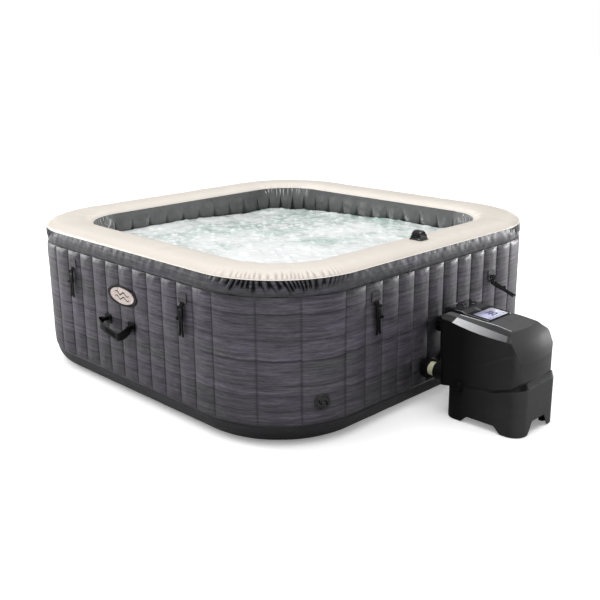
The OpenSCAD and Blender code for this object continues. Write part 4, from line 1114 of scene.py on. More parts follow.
def clip(i):
    """A side-release buckle half: bar, arms, body, two flared prongs and the knob at its side."""
    arm_y = STRAP_W / 2 + 0.0031
    solid = Solid(clip_frame(i) @ placed(CLIP_X, 0, 0, -LOW_CLIP_TILT if i == LOW_CLIP else 0, "Y"))
    solid.tube([(0, -arm_y - 0.0022, 0), (0, arm_y + 0.0022, 0)], CLIP_BAR_R, sides=14)
    arm = ((0.0036, 0.0045), (0.0022, 0.0068), (-0.014, 0.0068), (-0.026, 0.0068))
    for s in (-1, 1):
        solid.layers([(z, rounded_outline(depth, 0.005, 0.0018, 3, (0.0, s * arm_y))) for z, depth in arm])
    half_w = arm_y + 0.0025
    body = ((-0.0080, half_w - 0.0016, 0.0056), (-0.0095, half_w, 0.0074), (-0.036, half_w, 0.0078),
            (-0.044, half_w - 0.0015, 0.0074), (-0.054, half_w - 0.0020, 0.0070),
            (-0.0562, half_w - 0.0045, 0.0050))
    solid.layers([(z, rounded_outline(depth, 2 * width, 0.0028, 4)) for z, width, depth in body])
    solid.box((0.0030, -0.0050, -0.050), (0.0045, 0.0050, -0.028))
    prong = ((-0.052, 0.0070, 0.0110, 0.0060), (-0.085, 0.0070, 0.0105, 0.0056),
             (-0.105, 0.0082, 0.0112, 0.0056), (-0.114, 0.0100, 0.0125, 0.0056),
             (-0.1205, 0.0105, 0.0105, 0.0048), (-0.122, 0.0103, 0.0060, 0.0030))
    for s in (-1, 1):
        solid.layers([(z, rounded_outline(depth, width, min(width, depth) * 0.38, 4, (0.0, s * off)))
                      for z, off, width, depth in prong])
    hand = 1 if CLIPS[i][0] % 2 == 0 else -1
    solid.lathe([(0.0002, -0.006), (0.0055, -0.006), (0.0070, -0.0042), (0.0070, 0.0042), (0.0055, 0.006),
                 (0.0002, 0.006)], placed(0, hand * (arm_y + 0.0075), -0.050, 90), 28)
    name = f"clip_{i + 1}"
    solid.piece(f"{name}_buckle", name, "black_plastic", [BLACK_PLASTIC], [name], bevel=0.0006)


def straps():
    """Welded patches, and the webbing that loops round each clip's bar."""
    solid = Solid()
    for i in range(len(CLIPS)):
        solid.place = clip_frame(i)
        solid.finish = 0
        edges = ((0.0, 0.0), (0.0012, 0.0), (0.0018, 0.03), (0.0018, 0.09), (0.0014, 0.10), (0.0019, 0.12))
        solid.plate(rounded_outline(PATCH_H, PATCH_W, 0.007), placed(0, 0, 0.036, 90, "Y"), edges)
        solid.finish = 1
        loop = [(CLIP_X + 0.0042 * math.cos(a), 0, 0.0042 * math.sin(a)) for a in np.linspace(2.2, -3.4, 15)]
        rising = [(0.0024, 0, 0.020), (0.0030, 0, 0.0150), (0.0060, 0, 0.0085)]
        if i == LOW_CLIP:
            rising = [(0.0024, 0, 0.018), (0.0034, 0, 0.028), (0.0068, 0, 0.0355), (0.0115, 0, 0.0365),
                      (0.0155, 0, 0.031), (0.0150, 0, 0.018), (0.0120, 0, 0.0075)]
        path = rising + loop + [(0.0068, 0, 0.003), (0.0030, 0, 0.008), (0.0016, 0, 0.0150)]
        solid.sweep(path, rectangle(0.0007, STRAP_W / 2), up=Vector((0, 1, 0)))
    solid.piece("clip_webbing", "tub", "webbing", [PATCH_VINYL, WEBBING], ["clip_straps"], bevel=0.0003)


for index in range(len(CLIPS)):
    clip(index)
straps()

# ---------------------------------------------------------------- handles

PIN_X = 0.024                                    # from the wall to the pins
PIN_R = 0.004
HANDLE_ALONG = -0.052                            # from the wall's middle
HANDLE_Z = centre_of("handle_brackets")[2]
HANDLE_HALF = 0.1025                             # half the distance between the ends
HANDLE_REACH = 0.052                             # from the pins to the grip
HANDLE_BAND = 0.035                              # width of the band
HANDLE_DROOP = 45                                # degrees below level at rest
HANDLE_BEND = 0.028                              # radius of the band's two bends
HANDLE_LEG = 0.014                               # the ends stay straight this far from the pins


def handle_frame(side):
    return wall_frame(side, HANDLE_ALONG, HANDLE_Z) @ placed(PIN_X)


def sagged(x, y, z, line, reach):
    """A point of the flat bow where it hangs: its ends pull in, and the -y end lies closer to the wall."""
    share = (y + line) / (2 * line)
    out = max(0.0, x - HANDLE_LEG) / (reach - HANDLE_LEG)
    pull = 0.14 * share + 0.38 * (1 - share)
    return x * (1 - 0.40 * (1 - share) * out), y * (1 - pull * out), z


def handle(side, body, name):
    """A rubber band bent into a bow, with thicker edges, ribs along the grip and an eye at each pin."""
    droop = Matrix.Rotation(math.radians(HANDLE_DROOP), 4, "Y")
    solid = Solid(handle_frame(side))
    line = HANDLE_HALF + 0.002
    reach = HANDLE_REACH + 0.002
    bend = [math.pi / 2 * k / 8 for k in range(9)]
    first = [(reach - HANDLE_BEND + HANDLE_BEND * math.sin(a),
              -line + HANDLE_BEND - HANDLE_BEND * math.cos(a), 0) for a in bend]
    last = [(x, -y, z) for x, y, z in reversed(first)]
    middle = [(reach, first[-1][1] * (1 - 2 * k / 12), 0) for k in range(1, 12)]
    legs = [(x, -line, 0) for x in (-0.002, 0.006, HANDLE_LEG)]
    path = legs + first + middle + last + [(x, -y, z) for x, y, z in reversed(legs)]
    path = [droop @ Vector(sagged(x, y, z, line, reach)) for x, y, z in path]
    top = HANDLE_BAND / 2
    back = [(-0.0014, 0.006), (-0.0026, 0.004), (-0.0028, 0.0015), (-0.0014, 0.0)]
    front = [(0.0014, 0.0), (0.0024, 0.0015), (0.0022, 0.004), (0.0016, 0.006)]
    upper = [(x, top - inset) for x, inset in back + front]
    lower = [(x, inset - top) for x, inset in reversed(back + front)]
    solid.sweep(path, [(-0.0014, 0.0), *upper, (0.0016, 0.0), *lower])
    inner = PIN_R + 0.0002
    for s in (-1, 1):
        solid.lathe([(inner, -0.0024), (0.0098, -0.0024), (0.0104, -0.0014), (0.0104, 0.0014),
                     (0.0098, 0.0024), (inner, 0.0024), (inner, -0.0024)], placed(0, s * line, 0, 90), 32)
    for k in range(-5, 7):
        x, y, z = droop @ Vector(sagged(reach, k * 0.0095, 0, line, reach))
        solid.box((x + 0.0008, y - 0.0014, z - 0.0095), (x + 0.0026, y + 0.0014, z + 0.0095))
    solid.piece(name, body, "handle_rubber", [HANDLE_RUBBER], [body], bevel=0.0006)


def handle_brackets():
    solid = Solid()
    edges = ((0.0, 0.0), (0.0014, 0.0), (0.0020, 0.05), (0.0020, 0.14), (0.0016, 0.16), (0.0016, 0.20))
    lug = ((-PIN_X + 0.001, 0.011), (-PIN_X + 0.004, 0.009), (0.002, 0.0085), (0.0055, 0.006))
    for side in (1, 3):
        solid.place = handle_frame(side)
        for s in (-1, 1):
            patch_at = placed(-PIN_X, s * (HANDLE_HALF - 0.014), 0, 90, "Y")
            solid.plate(rounded_outline(PATCH_H, PATCH_W, 0.010), patch_at, edges)
            lug_y = s * (HANDLE_HALF - 0.0085)
            solid.loft([[(x, lug_y + y, z) for y, z in rounded_outline(0.010, 2 * half, 0.003)]
                        for x, half in lug])
            pin_y = s * (HANDLE_HALF + 0.0005)
            solid.tube([(0, pin_y - 0.005, 0), (0, pin_y + 0.005, 0)], PIN_R, sides=20)
    solid.piece("handle_anchors", "tub", "black_plastic", [BLACK_PLASTIC], ["handle_brackets"], bevel=0.0006)


handle(3, "handle_front", "handle_front_bow")
handle(1, "handle_back", "handle_back_bow")
handle_brackets()

# ---------------------------------------------------------------- union nuts


def union_nut(node, y, z, bore):
    """A ribbed union nut, hollow for the spigot's flange."""
    low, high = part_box(node)
    radius = (high.z - low.z) / 2 - 0.003
    solid = Solid(placed(0, y, z))
    ribs, step = 12, 8
    profile = [(bore + 0.0052, low.x), (radius - 0.0025, low.x), (radius, low.x + 0.002),
               (radius, high.x - 0.003), (radius - 0.003, high.x), (bore + 0.0052, high.x),
               (bore + 0.0052, high.x - 0.003), (bore + 0.0072, high.x - 0.004),
               (bore + 0.0072, low.x + 0.001)]
    sections = []
    for r, d in profile:
        ring = []
        for k in range(ribs * step):
            rib = max(0.0, math.cos(2 * math.pi * k / step)) ** 0.6 * 0.003 if r > radius - 0.0028 else 0.0
            a = 2 * math.pi * k / (ribs * step)
            ring.append((d, (r + rib) * math.cos(a), (r + rib) * math.sin(a)))
        sections.append(ring)
    solid.loft(sections, closed=True)
    solid.piece(f"{node}_ribbed", node, "black_plastic", [BLACK_PLASTIC], [node], bevel=0.0005, angle=40)


union_nut("inlet_nut", INLET_Y, PORTS_Z, 0.025)
union_nut("outlet_nut", OUTLET_Y, PORTS_Z, 0.025)
union_nut("air_nut", UNIT_Y, AIR_PORT_Z, 0.016)

# ---------------------------------------------------------------- pump unit


class Plan:
    """A rounded rectangle seen from above, whose inset copies keep their points in step."""

    def __init__(self, x0, x1, y0, y1, radius, columns):
        self.box, self.radius = (x0, x1, y0, y1), radius
        sides = [x1 - x0 - 2 * radius, y1 - y0 - 2 * radius] * 2
        lengths = [length for side in sides for length in (side, math.pi / 2 * radius)]
        ends = np.cumsum([0.0] + lengths)
        along = np.arange(columns) / columns * ends[-1]
        self.part = np.searchsorted(ends, along, side="right") - 1
        self.share = (along - ends[self.part]) / np.array(lengths)[self.part]

    def ring(self, inset=0.0):
        """(points, outward normals) of the outline moved in by inset."""
        x0, x1, y0, y1 = self.box
        r = max(self.radius - inset, 0.0)
        keep = inset + r
        corners = np.array([(x0 + keep, y0 + keep), (x1 - keep, y0 + keep), (x1 - keep, y1 - keep),
                            (x0 + keep, y1 - keep)])
        side, on_arc = self.part // 2, self.part % 2 == 1
        angle = (-math.pi / 2) + (side + np.where(on_arc, self.share, 0.0)) * math.pi / 2
        normal = np.stack([np.cos(angle), np.sin(angle)], -1)
        start, end = corners[side], corners[(side + 1) % 4]
        centre = np.where(on_arc[:, None], end, start + (end - start) * self.share[:, None])
        return centre + normal * r, normal


SHELL = 0.0035                                   # wall of the pump unit's housing
LEDGE_BACK_Z = 0.138                             # the ledge round the base, at its back
LEDGE_SLOPE = 0.203                              # and its rise to the front
LEDGE_BELOW = 0.007                              # how far below the CAD ledge the bevel starts
TOP_BACK_X, TOP_BACK_Z = 1.085, 0.447            # where the cover's rounded back meets its sloping top
TOP_SLOPE = 0.0415
BOW_HALF = 0.12                                  # the bows below are measured this far from the middle
SHOULDER_IN, SHOULDER_MID = 0.0925, 0.116        # how far from the middle the shoulder's edges are
STRIP_W = 0.023                                  # how far in from the cover's sides the pale strips reach
NOSE_X = 1.386                                   # crease between the top and the nose
NOSE_Z = 0.310
NOSE_RUN = (0.0, 0.20, 0.40, 0.57, 0.72, 0.87, 0.95, 1.0)       # shares of the nose's run and drop
NOSE_DROP = (0.0, 0.085, 0.19, 0.29, 0.42, 0.62, 0.80, 1.0)
CREASE_BOW, FRONT_BOW = 0.024, 0.016             # how far both curve back towards the sides


def ledge_z(x):
    dip = 0.009 * np.exp(-((x - 1.330) / 0.045) ** 2)
    return LEDGE_BACK_Z + LEDGE_SLOPE * (x - UNIT_LOW.x) - dip


def flat_z(x):
    """Height of the cover's gently sloping top along its middle."""
    return TOP_BACK_Z - TOP_SLOPE * (x - TOP_BACK_X) - 0.008 * np.clip((x - 1.30) / (NOSE_X - 1.30), 0, 1)


def top_line(x, across):
    """Height of the cover's rounded back, top and nose, this far from its middle plane."""
    bow = (across / BOW_HALF) ** 2
    crease, front = NOSE_X - CREASE_BOW * bow, COVER_HIGH.x - FRONT_BOW * bow
    share = np.clip((x - crease) / (front - crease), 0, 1)
    nose = flat_z(crease) - (flat_z(crease) - NOSE_Z) * np.interp(share, NOSE_RUN, NOSE_DROP)
    back = np.clip((TOP_BACK_X - x) / (TOP_BACK_X - COVER_LOW.x), 0, 1)
    tail = 0.036 * (1 - np.sqrt(np.maximum(1 - back ** 2, 0)))
    return np.where(x > crease, nose, flat_z(x) - tail)


def soft_min(a, b, blend):
    h = np.clip(0.5 + 0.5 * (b - a) / blend, 0, 1)
    return b * (1 - h) + a * h - blend * h * (1 - h)


def shoulder_line(x):
    """Heights of the shoulder's middle and outer edges."""
    middle = 0.4395 - 0.108 * (np.clip(x, 1.10, 1.40) - 1.121)
    run = np.clip((x - 1.1265) / 0.238, -0.12, 1)
    return middle, 0.3940 + 0.0230 * (1 - run) ** 2.2


def cover_top(x, y):
    """Height of the pump cover at a place in plan."""
    across = np.abs(y - UNIT_Y)
    line = top_line(x, across)
    middle, outer = shoulder_line(x)
    flat = TOP_BACK_Z - TOP_SLOPE * (x - TOP_BACK_X)
    inner_part = flat + (middle - flat) * (across - SHOULDER_IN) / (SHOULDER_MID - SHOULDER_IN)
    outer_part = middle + (outer - middle) * (across - SHOULDER_MID) / (COVER_HALF - SHOULDER_MID)
    shoulder = np.where(across < SHOULDER_MID, inner_part, outer_part)
    return soft_min(line, shoulder, 0.0022)


def arch(value, low, high, height, run=0.040):
    """Height of a cut-out under a wall."""
    return height * smooth_step(value, low, low + run) * (1 - smooth_step(value, high - run, high))


def pump_base_shell():
    plan = Plan(UNIT_LOW.x, UNIT_HIGH.x, UNIT_Y - BASE_HALF, UNIT_Y + BASE_HALF, UNIT_R, 320)
    outline, normal = plan.ring()
    x, y = outline.T
    on_side = np.abs(normal[:, 1]) > 0.99
    on_front = normal[:, 0] > 0.99
    skirt = UNIT_LOW.z
    foot = skirt + np.where(on_side, arch(x, 1.180, 1.380, 0.028), 0) \
        + np.where(on_front, arch(y, -0.060, 0.100, 0.053), 0)
    edge = ledge_z(x) - LEDGE_BELOW
    rows = []
    for share in (0.0, 0.012, 0.05, *np.linspace(0.1, 1.0, 26)):
        z = foot + (edge - foot) * share
        nose = smooth_step(normal[:, 0] * 0.5 - normal[:, 1] * 0.7, 0.3, 0.8)
        dents = sum(np.exp(-((z - level) / 0.0035) ** 2) for level in (0.085, 0.130))
        inset = 0.0016 * dents * nose + 0.0015 * max(0.0, 1 - share / 0.012)
        rows.append(np.column_stack([outline - normal * inset[:, None], z]))
    height = 0.42 + 0.58 * smooth_step(normal[:, 0], 0.1, 0.9)
    bevel = ((0.0006, 0.0012), (0.0022, 0.0042), (0.0070, 0.0225), (0.0078, 0.0250), (0.012, 0.0255))
    for inset, rise in bevel:
        ring, _ = plan.ring(inset)
        rows.append(np.column_stack([ring, ledge_z(ring[:, 0]) - LEDGE_BELOW + rise * height]))
    mesh = grid_mesh("pump_lower_shell", np.array(rows))
    indices = np.zeros(len(mesh.polygons), np.int32)
    indices[-len(bevel) * len(outline):] = 1
    mesh.polygons.foreach_set("material_index", indices)
    piece = new_piece("pump_lower_shell", mesh, "tub", [PUMP_PLASTIC, LEDGE_PLASTIC],
                      ["pump_base"])
    modifier(piece, "SOLIDIFY", thickness=SHELL, offset=-1.0)


def plug_frame():
    """The side plug's axis, which runs out of the unit's -Y side."""
    x, _, z = centre_of("side_plug")
    return placed(x, 0, z, -90)


def pump_base_fittings():
    """The deck and foot bosses under the unit, and the socket of the drain plug."""
    solid = Solid()
    inset = SHELL + 0.0001
    plan = Plan(UNIT_LOW.x + inset, UNIT_HIGH.x - inset, UNIT_Y - BASE_HALF + inset,
                UNIT_Y + BASE_HALF - inset, UNIT_R - inset, 96)
    outline = [tuple(p) for p in plan.ring()[0]]
    solid.layers([(0.058, outline), (0.062, outline)])
    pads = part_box("foot_pads")
    pad_r = 0.014
    for x in (pads[0].x + pad_r, pads[1].x - pad_r):
        for y in (pads[0].y + pad_r, pads[1].y - pad_r):
            solid.lathe([(0.0002, 0.0062), (pad_r, 0.0062), (pad_r, 0.0585), (0.0002, 0.0585)],
                        placed(x, y, 0, -90, "Y"), 32)
    face = -(UNIT_Y - BASE_HALF) + 0.004
    solid.lathe([(0.0142, face - 0.012), (0.026, face - 0.012), (0.026, face - 0.0012), (0.0248, face),
                 (0.0225, face), (0.0215, face - 0.0015), (0.0142, face - 0.0015), (0.0142, face - 0.012)],
                plug_frame(), 56)
    solid.piece("pump_base_fittings", "tub", "pump_plastic", [LEDGE_PLASTIC], bevel=0.0005)


def rear_collars():
    """Black collars round the pipes where they leave the cover."""
    solid = Solid()
    for y, z, r in ((INLET_Y, PORTS_Z, 0.030), (OUTLET_Y, PORTS_Z, 0.030), (UNIT_Y, AIR_PORT_Z, 0.021)):
        inner, outer = r + 0.0004, r + 0.0085
        solid.lathe([(inner, 1.018), (outer - 0.002, 1.018), (outer, 1.020), (outer, 1.034),
                     (outer + 0.002, 1.036), (outer + 0.002, 1.066), (inner, 1.066), (inner, 1.018)],
                    placed(0, y, z))
    solid.piece("pump_rear_collars", "tub", "pump_plastic", [LEDGE_PLASTIC], bevel=0.0006)


def side_swell(x, z, normal):
    """Shallow step that sweeps up the cover's sides to the front corner."""
    line = 0.245 + 0.105 * smooth_step(x, 1.16, 1.46) ** 1.25
    fade = smooth_step(x, 1.17, 1.26) * smooth_step(np.abs(normal[:, 1]), 0.35, 0.9)
    return 0.0050 * smooth_step(line - z, -0.010, 0.004) * fade * (1 - smooth_step(line - z, 0.03, 0.12))


def cover_ring(share, inset=0.0):
    """Outline of the cover: from the ledge, 0, to the top, 1, its corners tighten and its front bows."""
    tight = float(smooth_step(np.array(share), 0.0, 0.75))
    plan = Plan(COVER_LOW.x, COVER_HIGH.x, UNIT_Y - COVER_HALF, UNIT_Y + COVER_HALF, 0.046 - 0.020 * tight,
                400)
    points, normal = plan.ring(inset)
    x, y = points.T
    bow = (0.010 + (FRONT_BOW - 0.010) * tight) * ((y - UNIT_Y) / BOW_HALF) ** 2 * smooth_step(x, 1.20, 1.40)
    return np.column_stack([x - bow, y]), normal


def pump_cover_shell():
    top_ring, _ = cover_ring(1.0)
    wall_top = cover_top(*top_ring.T)
    rows = []
    for share in (*np.linspace(0.0, 0.985, 70), 0.995):
        outline, normal = cover_ring(share)
        foot = ledge_z(outline[:, 0]) - 0.002
        z = foot + (wall_top - foot) * share
        swell = side_swell(outline[:, 0], z, normal)
        rows.append(np.column_stack([outline + normal * swell[:, None], z]))
    insets = (0.0006, 0.0018, 0.004, 0.007, 0.0105, 0.014, 0.018, 0.0215, 0.0230, 0.0245, 0.028, 0.033, 0.039,
              0.044, 0.0455, 0.0475, 0.053, 0.060, 0.0655, 0.0672, 0.0688, 0.071, 0.076, 0.083, 0.092, 0.102,
              0.113, 0.125, 0.1350, 0.139)
    for inset in insets:
        ring, _ = cover_ring(1.0, inset)
        rows.append(np.column_stack([ring, cover_top(*ring.T)]))
    mesh = mend(grid_mesh("pump_top_cover", np.array(rows)), 2e-5)
    piece = new_piece("pump_top_cover", mesh, "tub", [PUMP_PLASTIC], ["pump_cover"])
    modifier(piece, "SOLIDIFY", thickness=SHELL, offset=-1.0)


def trim_strips():
    """The pale strips on both shoulders, and the white line printed inside the near one."""
    low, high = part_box("trim_bands")
    solid = Solid()
    steps = 40
    for side in (-1, 1):
        sections = []
        for k in range(steps + 1):
            t = k / steps
            x = low.x + (high.x + 0.010 - low.x) * t
            lean = 0.010 * (1 - t) - 0.008 * t
            end = float(smooth_step(np.array(min(t, 1 - t) * steps / 1.5)))
            ring = []
            for share, proud in ((0.03, -0.0006), (0.05, 0.0016), (0.515, 0.0021), (0.97, 0.0016),
                                 (1.0, -0.0006)):
                place_x = x + lean * share
                y = UNIT_Y + side * (COVER_HALF - STRIP_W * share)
                z = float(cover_top(np.array(place_x), np.array(y)))
                ring.append((place_x, y + side * proud * 0.84 * end, z + proud * 0.54 * end))
            inner = [(p[0], p[1] - side * 0.003, p[2] - 0.003) for p in reversed(ring)]
            sections.append(ring + inner)
        solid.loft(sections)
    solid.piece("shoulder_trim", "tub", "silver_trim", [TRIM_SILVER], ["trim_bands"], bevel=0.0003)

    line = Solid()
    x0, x1 = low.x + 0.010, high.x + 0.004
    y = UNIT_Y - SHOULDER_IN
    sections = []
    for k in range(61):
        x = x0 + (x1 - x0) * k / 60
        half = 0.0017 - 0.0012 * k / 60
        z = float(cover_top(np.array(x), np.array(y)))
        sections.append([(x, y + a, z + b) for a, b in ((-half, -0.001), (half, -0.001), (half, 0.0007),
                                                        (-half, 0.0007))])
    line.loft(sections)
    line.piece("accent_line", "tub", "accent_white", [WHITE_ACCENT])


PANEL_LOW, PANEL_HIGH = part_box("control_panel")
DOME_Z = PANEL_HIGH.z
# name, y and x of each key
BUTTONS = (("power", -0.044, 1.078), ("filter", 0.020, 1.078), ("heat", 0.084, 1.078),
           ("bubbles", -0.012, 1.104), ("timer", 0.052, 1.104))
KEY_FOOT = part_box("button_power")[0].z
BUTTON_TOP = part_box("button_power")[1].z


def panel_top(x):
    return np.interp(x, (PANEL_LOW.x, PANEL_LOW.x + 0.004, 1.048, 1.128, 1.146, 1.150, PANEL_HIGH.x),
                     (0.4515, 0.4555, DOME_Z, DOME_Z, 0.4528, 0.4519, 0.446))


def cut(piece, cutter):
    """Takes a closed mesh out of a piece, at once."""
    tool = bpy.data.objects.new("cutter", cutter)
    bpy.context.scene.collection.objects.link(tool)
    modifier(piece, "BOOLEAN", object=tool, operation="DIFFERENCE", solver="EXACT")
    apply_modifiers(piece)
    bpy.data.objects.remove(tool)


def control_panel():
    plan = Plan(PANEL_LOW.x, PANEL_HIGH.x, PANEL_LOW.y, PANEL_HIGH.y, 0.022, 240)
    outline, _ = plan.ring()
    middle = 0.0868
    rows = []
    for inset in (middle, 0.060, 0.030, 0.004):
        ring = plan.ring(inset)[0]
        rows.append(np.column_stack([ring, cover_top(*ring.T) + 0.0005]))
    rows.append(np.column_stack([outline, np.maximum(cover_top(*outline.T) + 0.0005, 0.4355)]))
    half = (PANEL_HIGH.y - PANEL_LOW.y) / 2
    edge = ((0.0, 0.0042), (0.0004, 0.0026), (0.0016, 0.0011), (0.0036, 0.0002))
    flat = (0.006, 0.012, 0.018, 0.026, 0.036, 0.048, 0.060, 0.072, middle)
    for inset, drop in edge + tuple((inset, 0.0) for inset in flat):
        ring = plan.ring(inset)[0]
        roll = 0.0035 * np.maximum(0, (np.abs(ring[:, 1] - UNIT_Y) - 0.078) / (half - 0.078)) ** 2
        on_dome = 1 - smooth_step(ring[:, 0], 1.128, 1.150)
        z = np.maximum(panel_top(ring[:, 0]) - drop * 0.8 - roll * on_dome, cover_top(*ring.T) + 0.001)
        rows.append(np.column_stack([ring, z]))
    mesh = mend(grid_mesh("panel_shell", np.array(rows)), 1e-5, fill=True)
    piece = new_piece("panel_shell", mesh, "control_panel", [GLOSS_BLACK], ["control_panel"])
    pockets = Solid()
    for _, y, x in BUTTONS:
        outline = rounded_outline(0.0186, 0.0246, 0.0043, 4, (x, y))
        pockets.layers([(KEY_FOOT - 0.0012, outline), (DOME_Z + 0.01, outline)])
    low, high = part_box("panel_screen")
    pockets.box((low.x - GAP, low.y - GAP, panel_top(high.x) - 0.0016),
                (high.x + GAP, high.y + GAP, DOME_Z + 0.01))
    cut(piece, pockets.mesh("pockets"))
    piece.data.set_sharp_from_angle(angle=math.radians(38))


def slab_on_panel(solid, outline, proud):
    """A shape printed on the sloping front part of the panel, standing proud by a hair."""
    solid.loft([[(x, y, float(panel_top(x)) + lift) for x, y in outline] for lift in (0.00002, proud)])


SEGMENTS = {"3": "abgcd", "8": "abcdefg"}


def display():
    """The display: pale glass in the recess and two plain seven-segment digits."""
    low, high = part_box("panel_screen")
    solid = Solid()
    plan = Plan(low.x + 0.0003, high.x - 0.0003, low.y + 0.0003, high.y - 0.0003, 0.004, 80)
    solid.loft([[(x, y, float(panel_top(x)) + lift) for x, y in plan.ring()[0]]
                for lift in (-0.0013, -0.0003, 0.0)])
    solid.finish = 1
    wide, tall, bar = 0.0180, 0.033, 0.0066
    middle = (tall + bar) / 4
    for digit, centre_y in (("3", 0.004), ("8", 0.0315)):
        bars = {"a": (-tall / 2, 0, True), "g": (0, 0, True), "d": (tall / 2, 0, True),
                "f": (-middle, -wide / 2, False), "b": (-middle, wide / 2, False),
                "e": (middle, -wide / 2, False), "c": (middle, wide / 2, False)}
        for key in SEGMENTS[digit]:
            dx, dy, level = bars[key]
            size = (bar, wide - bar) if level else ((tall + bar) / 2 - 0.0004, bar)
            centre = ((low.x + high.x) / 2 + dx, centre_y + dy)
            slab_on_panel(solid, rounded_outline(*size, 0.0006, 2, centre), 0.00012)
    slab_on_panel(solid, arc(0.0028, full_turn(20), (1.199, 0.048)), 0.00012)
    for k in range(5):
        mark = rounded_outline(0.0035, 0.009, 0.001, 2, (1.246, -0.034 + 0.024 * k))
        slab_on_panel(solid, mark, 0.00010)
    solid.piece("panel_display", "control_panel", "lcd", [LCD_GLASS, NAVY_PRINT], ["panel_screen"])


def icon_power():
    return [arc(0.0042, np.linspace(0.6 + math.pi, 5.68 + math.pi, 22)), [(-0.0055, 0.0), (-0.0005, 0.0)]]


def icon_waves():
    return [[(row + 0.0009 * math.sin(k * 0.7), -0.0055 + 0.011 * k / 16) for k in range(17)]
            for row in (-0.003, 0.0, 0.003)]


def icon_heat():
    return [[(-0.0045 + 0.009 * k / 14, row + 0.0009 * math.sin(k * 0.9)) for k in range(15)]
            for row in (-0.0036, 0.0, 0.0036)]


def icon_bubbles():
    bubbles = (((0.002, -0.003), 0.0024), ((-0.0028, 0.0002), 0.0018), ((0.0012, 0.0036), 0.0014))
    return [arc(r, np.linspace(0, 2 * math.pi, 17), centre) for centre, r in bubbles]


def icon_clock():
    return [arc(0.0045, np.linspace(0, 2 * math.pi, 25)), [(-0.0030, 0.0), (0.0, 0.0), (0.0, 0.0020)]]


ICON_LINE = ((-0.00045, -0.0003), (0.00045, -0.0003), (0.00045, 0.0001), (-0.00045, 0.0001))
ICONS = {"power": icon_power(), "filter": icon_waves(), "heat": icon_heat(), "bubbles": icon_bubbles(),
         "timer": icon_clock()}


def buttons():
    length, width, _ = (b - a for a, b in zip(*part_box("button_power")))
    top = BUTTON_TOP - 0.0003
    edge = ((KEY_FOOT, 0.0), (top - 0.0009, 0.0), (top - 0.0003, 0.0004), (top, 0.0012),
            (top - 0.0002, 0.0040))
    for name, y, x in BUTTONS:
        solid = Solid()
        solid.layers([(z, rounded_outline(length - 2 * inset, width - 2 * inset, 0.004 - inset * 0.4, 4,
                                          (x, y))) for z, inset in edge])
        solid.finish = 1
        for line in ICONS[name]:
            solid.sweep([(x + dx, y + dy, top) for dx, dy in line], ICON_LINE)
        node = f"button_{name}"
        solid.piece(f"key_{name}", node, "black_plastic", [BLACK_PLASTIC, ICON_GREY], [node])


def side_plug():
    low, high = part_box("side_plug")
    radius = (high.x - low.x) / 2
    face, back = -low.y, -high.y
    plate = face - 0.0062
    solid = Solid(plug_frame())
    solid.lathe([(0.0002, back), (0.0138, back), (0.0138, plate - 0.008), (radius - 0.002, plate - 0.008),
                 (radius, plate - 0.006), (radius, plate - 0.0015), (radius - 0.0015, plate),
                 (0.0002, plate + 0.0006)], segments=56)
    grip = ((plate - 0.001, 0.0), (face - 0.0025, 0.0006), (face - 0.0008, 0.0018), (face, 0.004))
    solid.loft([[(d, y, z) for y, z in rounded_outline(0.034 - 2 * inset, 0.0085 - inset, 0.003, 4)]
                for d, inset in grip])
    for y, z in arc(radius - 0.0003, full_turn(20)):
        solid.tube([(plate - 0.0075, y, z), (plate - 0.0015, y, z)], 0.0009, sides=6)
    solid.piece("side_plug_knob", "side_plug", "black_plastic", [BLACK_PLASTIC], ["side_plug"], bevel=0.0004)


pump_base_shell()
pump_base_fittings()
pump_cover_shell()
rear_collars()
trim_strips()
control_panel()
display()
buttons()
side_plug()

# ---------------------------------------------------------------- CAD nodes that keep their shape

CAD_FINISHES = (
    (WEB_VINYL, ("wall_webs",)),
    (INNER_VINYL, ("air_channel",)),
    (BLACK_PLASTIC, ("drain_body", "inlet_fitting", "outlet_fitting", "air_fitting", "pump_volute",
                     "blower_housing")),
    (SEAL_RUBBER, ("wall_gaskets", "foot_pads", "cord_inlet")),
    (GREY_PLASTIC, ("return_grille", "filter_housing", "filter_cap", "impeller", "blower_fan")),
    (FILTER_PAPER, ("filter_cartridge",)),
    (STEEL, ("housing_screws", "heater_tube")),
    (MOTOR_METAL, ("pump_motor",)),
    (CIRCUIT_GREEN, ("control_board",)),
    (IVORY_PLASTIC, ("water_pipes",)),
)
for finish, node_names in CAD_FINISHES:
    for node_name in node_names:
        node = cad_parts[node_name]
        if not node.material_slots:
            node.data.materials.append(finish)
        for material_slot in node.material_slots:
            material_slot.material = finish

# ---------------------------------------------------------------- stage, light and camera


def stage_floor():
    size = 60.0
    mesh = bpy.data.meshes.new("stage_floor")
    mesh.from_pydata([(x, y, 0) for x, y in rectangle(size, size)], [], [(0, 1, 2, 3)])
    floor = bpy.data.objects.new("stage_floor", mesh)
    bpy.context.scene.collection.objects.link(floor)
    f = Finish("stage_white", grey(0.92), 0.6, Specular_IOR_Level=0.0)
    seen = f.node("LightPath").outputs["Is Camera Ray"]
    f.colour(f.mix(seen, grey(0.42), grey(0.93)))
    f.shader.inputs["Emission Color"].default_value = (1, 1, 1, 1)
    f.set("Emission Strength", f.times(seen, 0.22))
    mesh.materials.append(f.material)


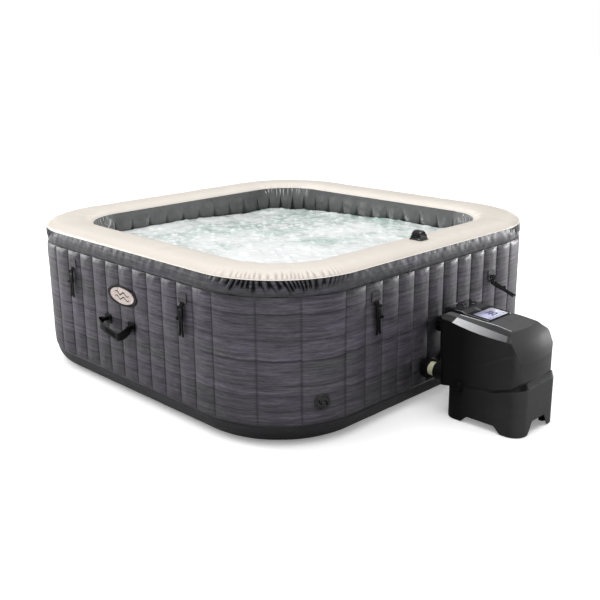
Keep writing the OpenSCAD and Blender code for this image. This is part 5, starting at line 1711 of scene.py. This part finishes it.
def world_light():
    """A white room, brighter overhead than low down, that the camera sees as plain white."""
    world = bpy.data.worlds.new("studio")
    bpy.context.scene.world = world
    world.use_nodes = True
    room = Shading(world.node_tree)
    upward = room.parts(room.node("TexCoord").outputs["Generated"])[2]
    levels = ((0.0, 0.14), (0.35, 0.30), (1.0, 0.62))
    light = room.ramp(upward, [(height, (level, level, level * 1.01)) for height, level in levels])
    seen = room.node("LightPath").outputs["Is Camera Ray"]
    room.links.new(room.mix(seen, light, grey(1.0)), room.nodes["Background"].inputs[0])


def lamp(name, location, target, power, kind="AREA", **settings):
    """A light at this place that shines at the target. power: watts, or strength for a sun."""
    light = bpy.data.lights.new(name, kind)
    light.energy = power
    for key, value in settings.items():
        setattr(light, key, value)
    made = bpy.data.objects.new(name, light)
    bpy.context.scene.collection.objects.link(made)
    made.location = location
    made.rotation_euler = (Vector(target) - Vector(location)).to_track_quat("-Z", "Y").to_euler()


def camera():
    """The fitted view: azimuth and elevation of the camera from the tub, and a slight roll."""
    azimuth, elevation, roll = math.radians(45.2), math.radians(16.607), -0.009
    back = Vector((math.sin(azimuth) * math.cos(elevation), -math.cos(azimuth) * math.cos(elevation),
                   math.sin(elevation)))
    right = Vector((math.cos(azimuth), math.sin(azimuth), 0))
    up = back.cross(right)
    right, up = right * math.cos(roll) + up * math.sin(roll), up * math.cos(roll) - right * math.sin(roll)
    data = bpy.data.cameras.new("camera")
    data.lens, data.sensor_width = 52.75, 36.0
    made = bpy.data.objects.new("camera", data)
    bpy.context.scene.collection.objects.link(made)
    made.matrix_world = Matrix((right, up, back)).transposed().to_4x4()
    made.location = (3.118, -2.985, 1.548)
    bpy.context.scene.camera = made


stage_floor()
world_light()
lamp("overhead", (0, 0, 6), (0.5, 0.4, 0), 2.2, "SUN", angle=math.radians(60))
for name, location, target, power, width, height in (
        ("left_softbox", (-4.2, -2.4, 1.5), (0, -0.9, 0.35), 145, 2.0, 2.6),
        ("right_softbox", (2.4, 4.4, 0.75), (1.0, 0.0, 0.3), 140, 1.4, 1.3),
        ("front_strip", (2.6, -3.4, 3.6), (0.4, -0.2, 0.5), 26, 2.2, 0.5),
        ("glint_strip", (4.6, -4.4, 2.6), (-0.5, 0.5, 0.65), 30, 0.25, 1.0)):
    lamp(name, location, target, power, shape="RECTANGLE", size=width, size_y=height)
camera()
bpy.context.scene.view_settings.view_transform = "Standard"
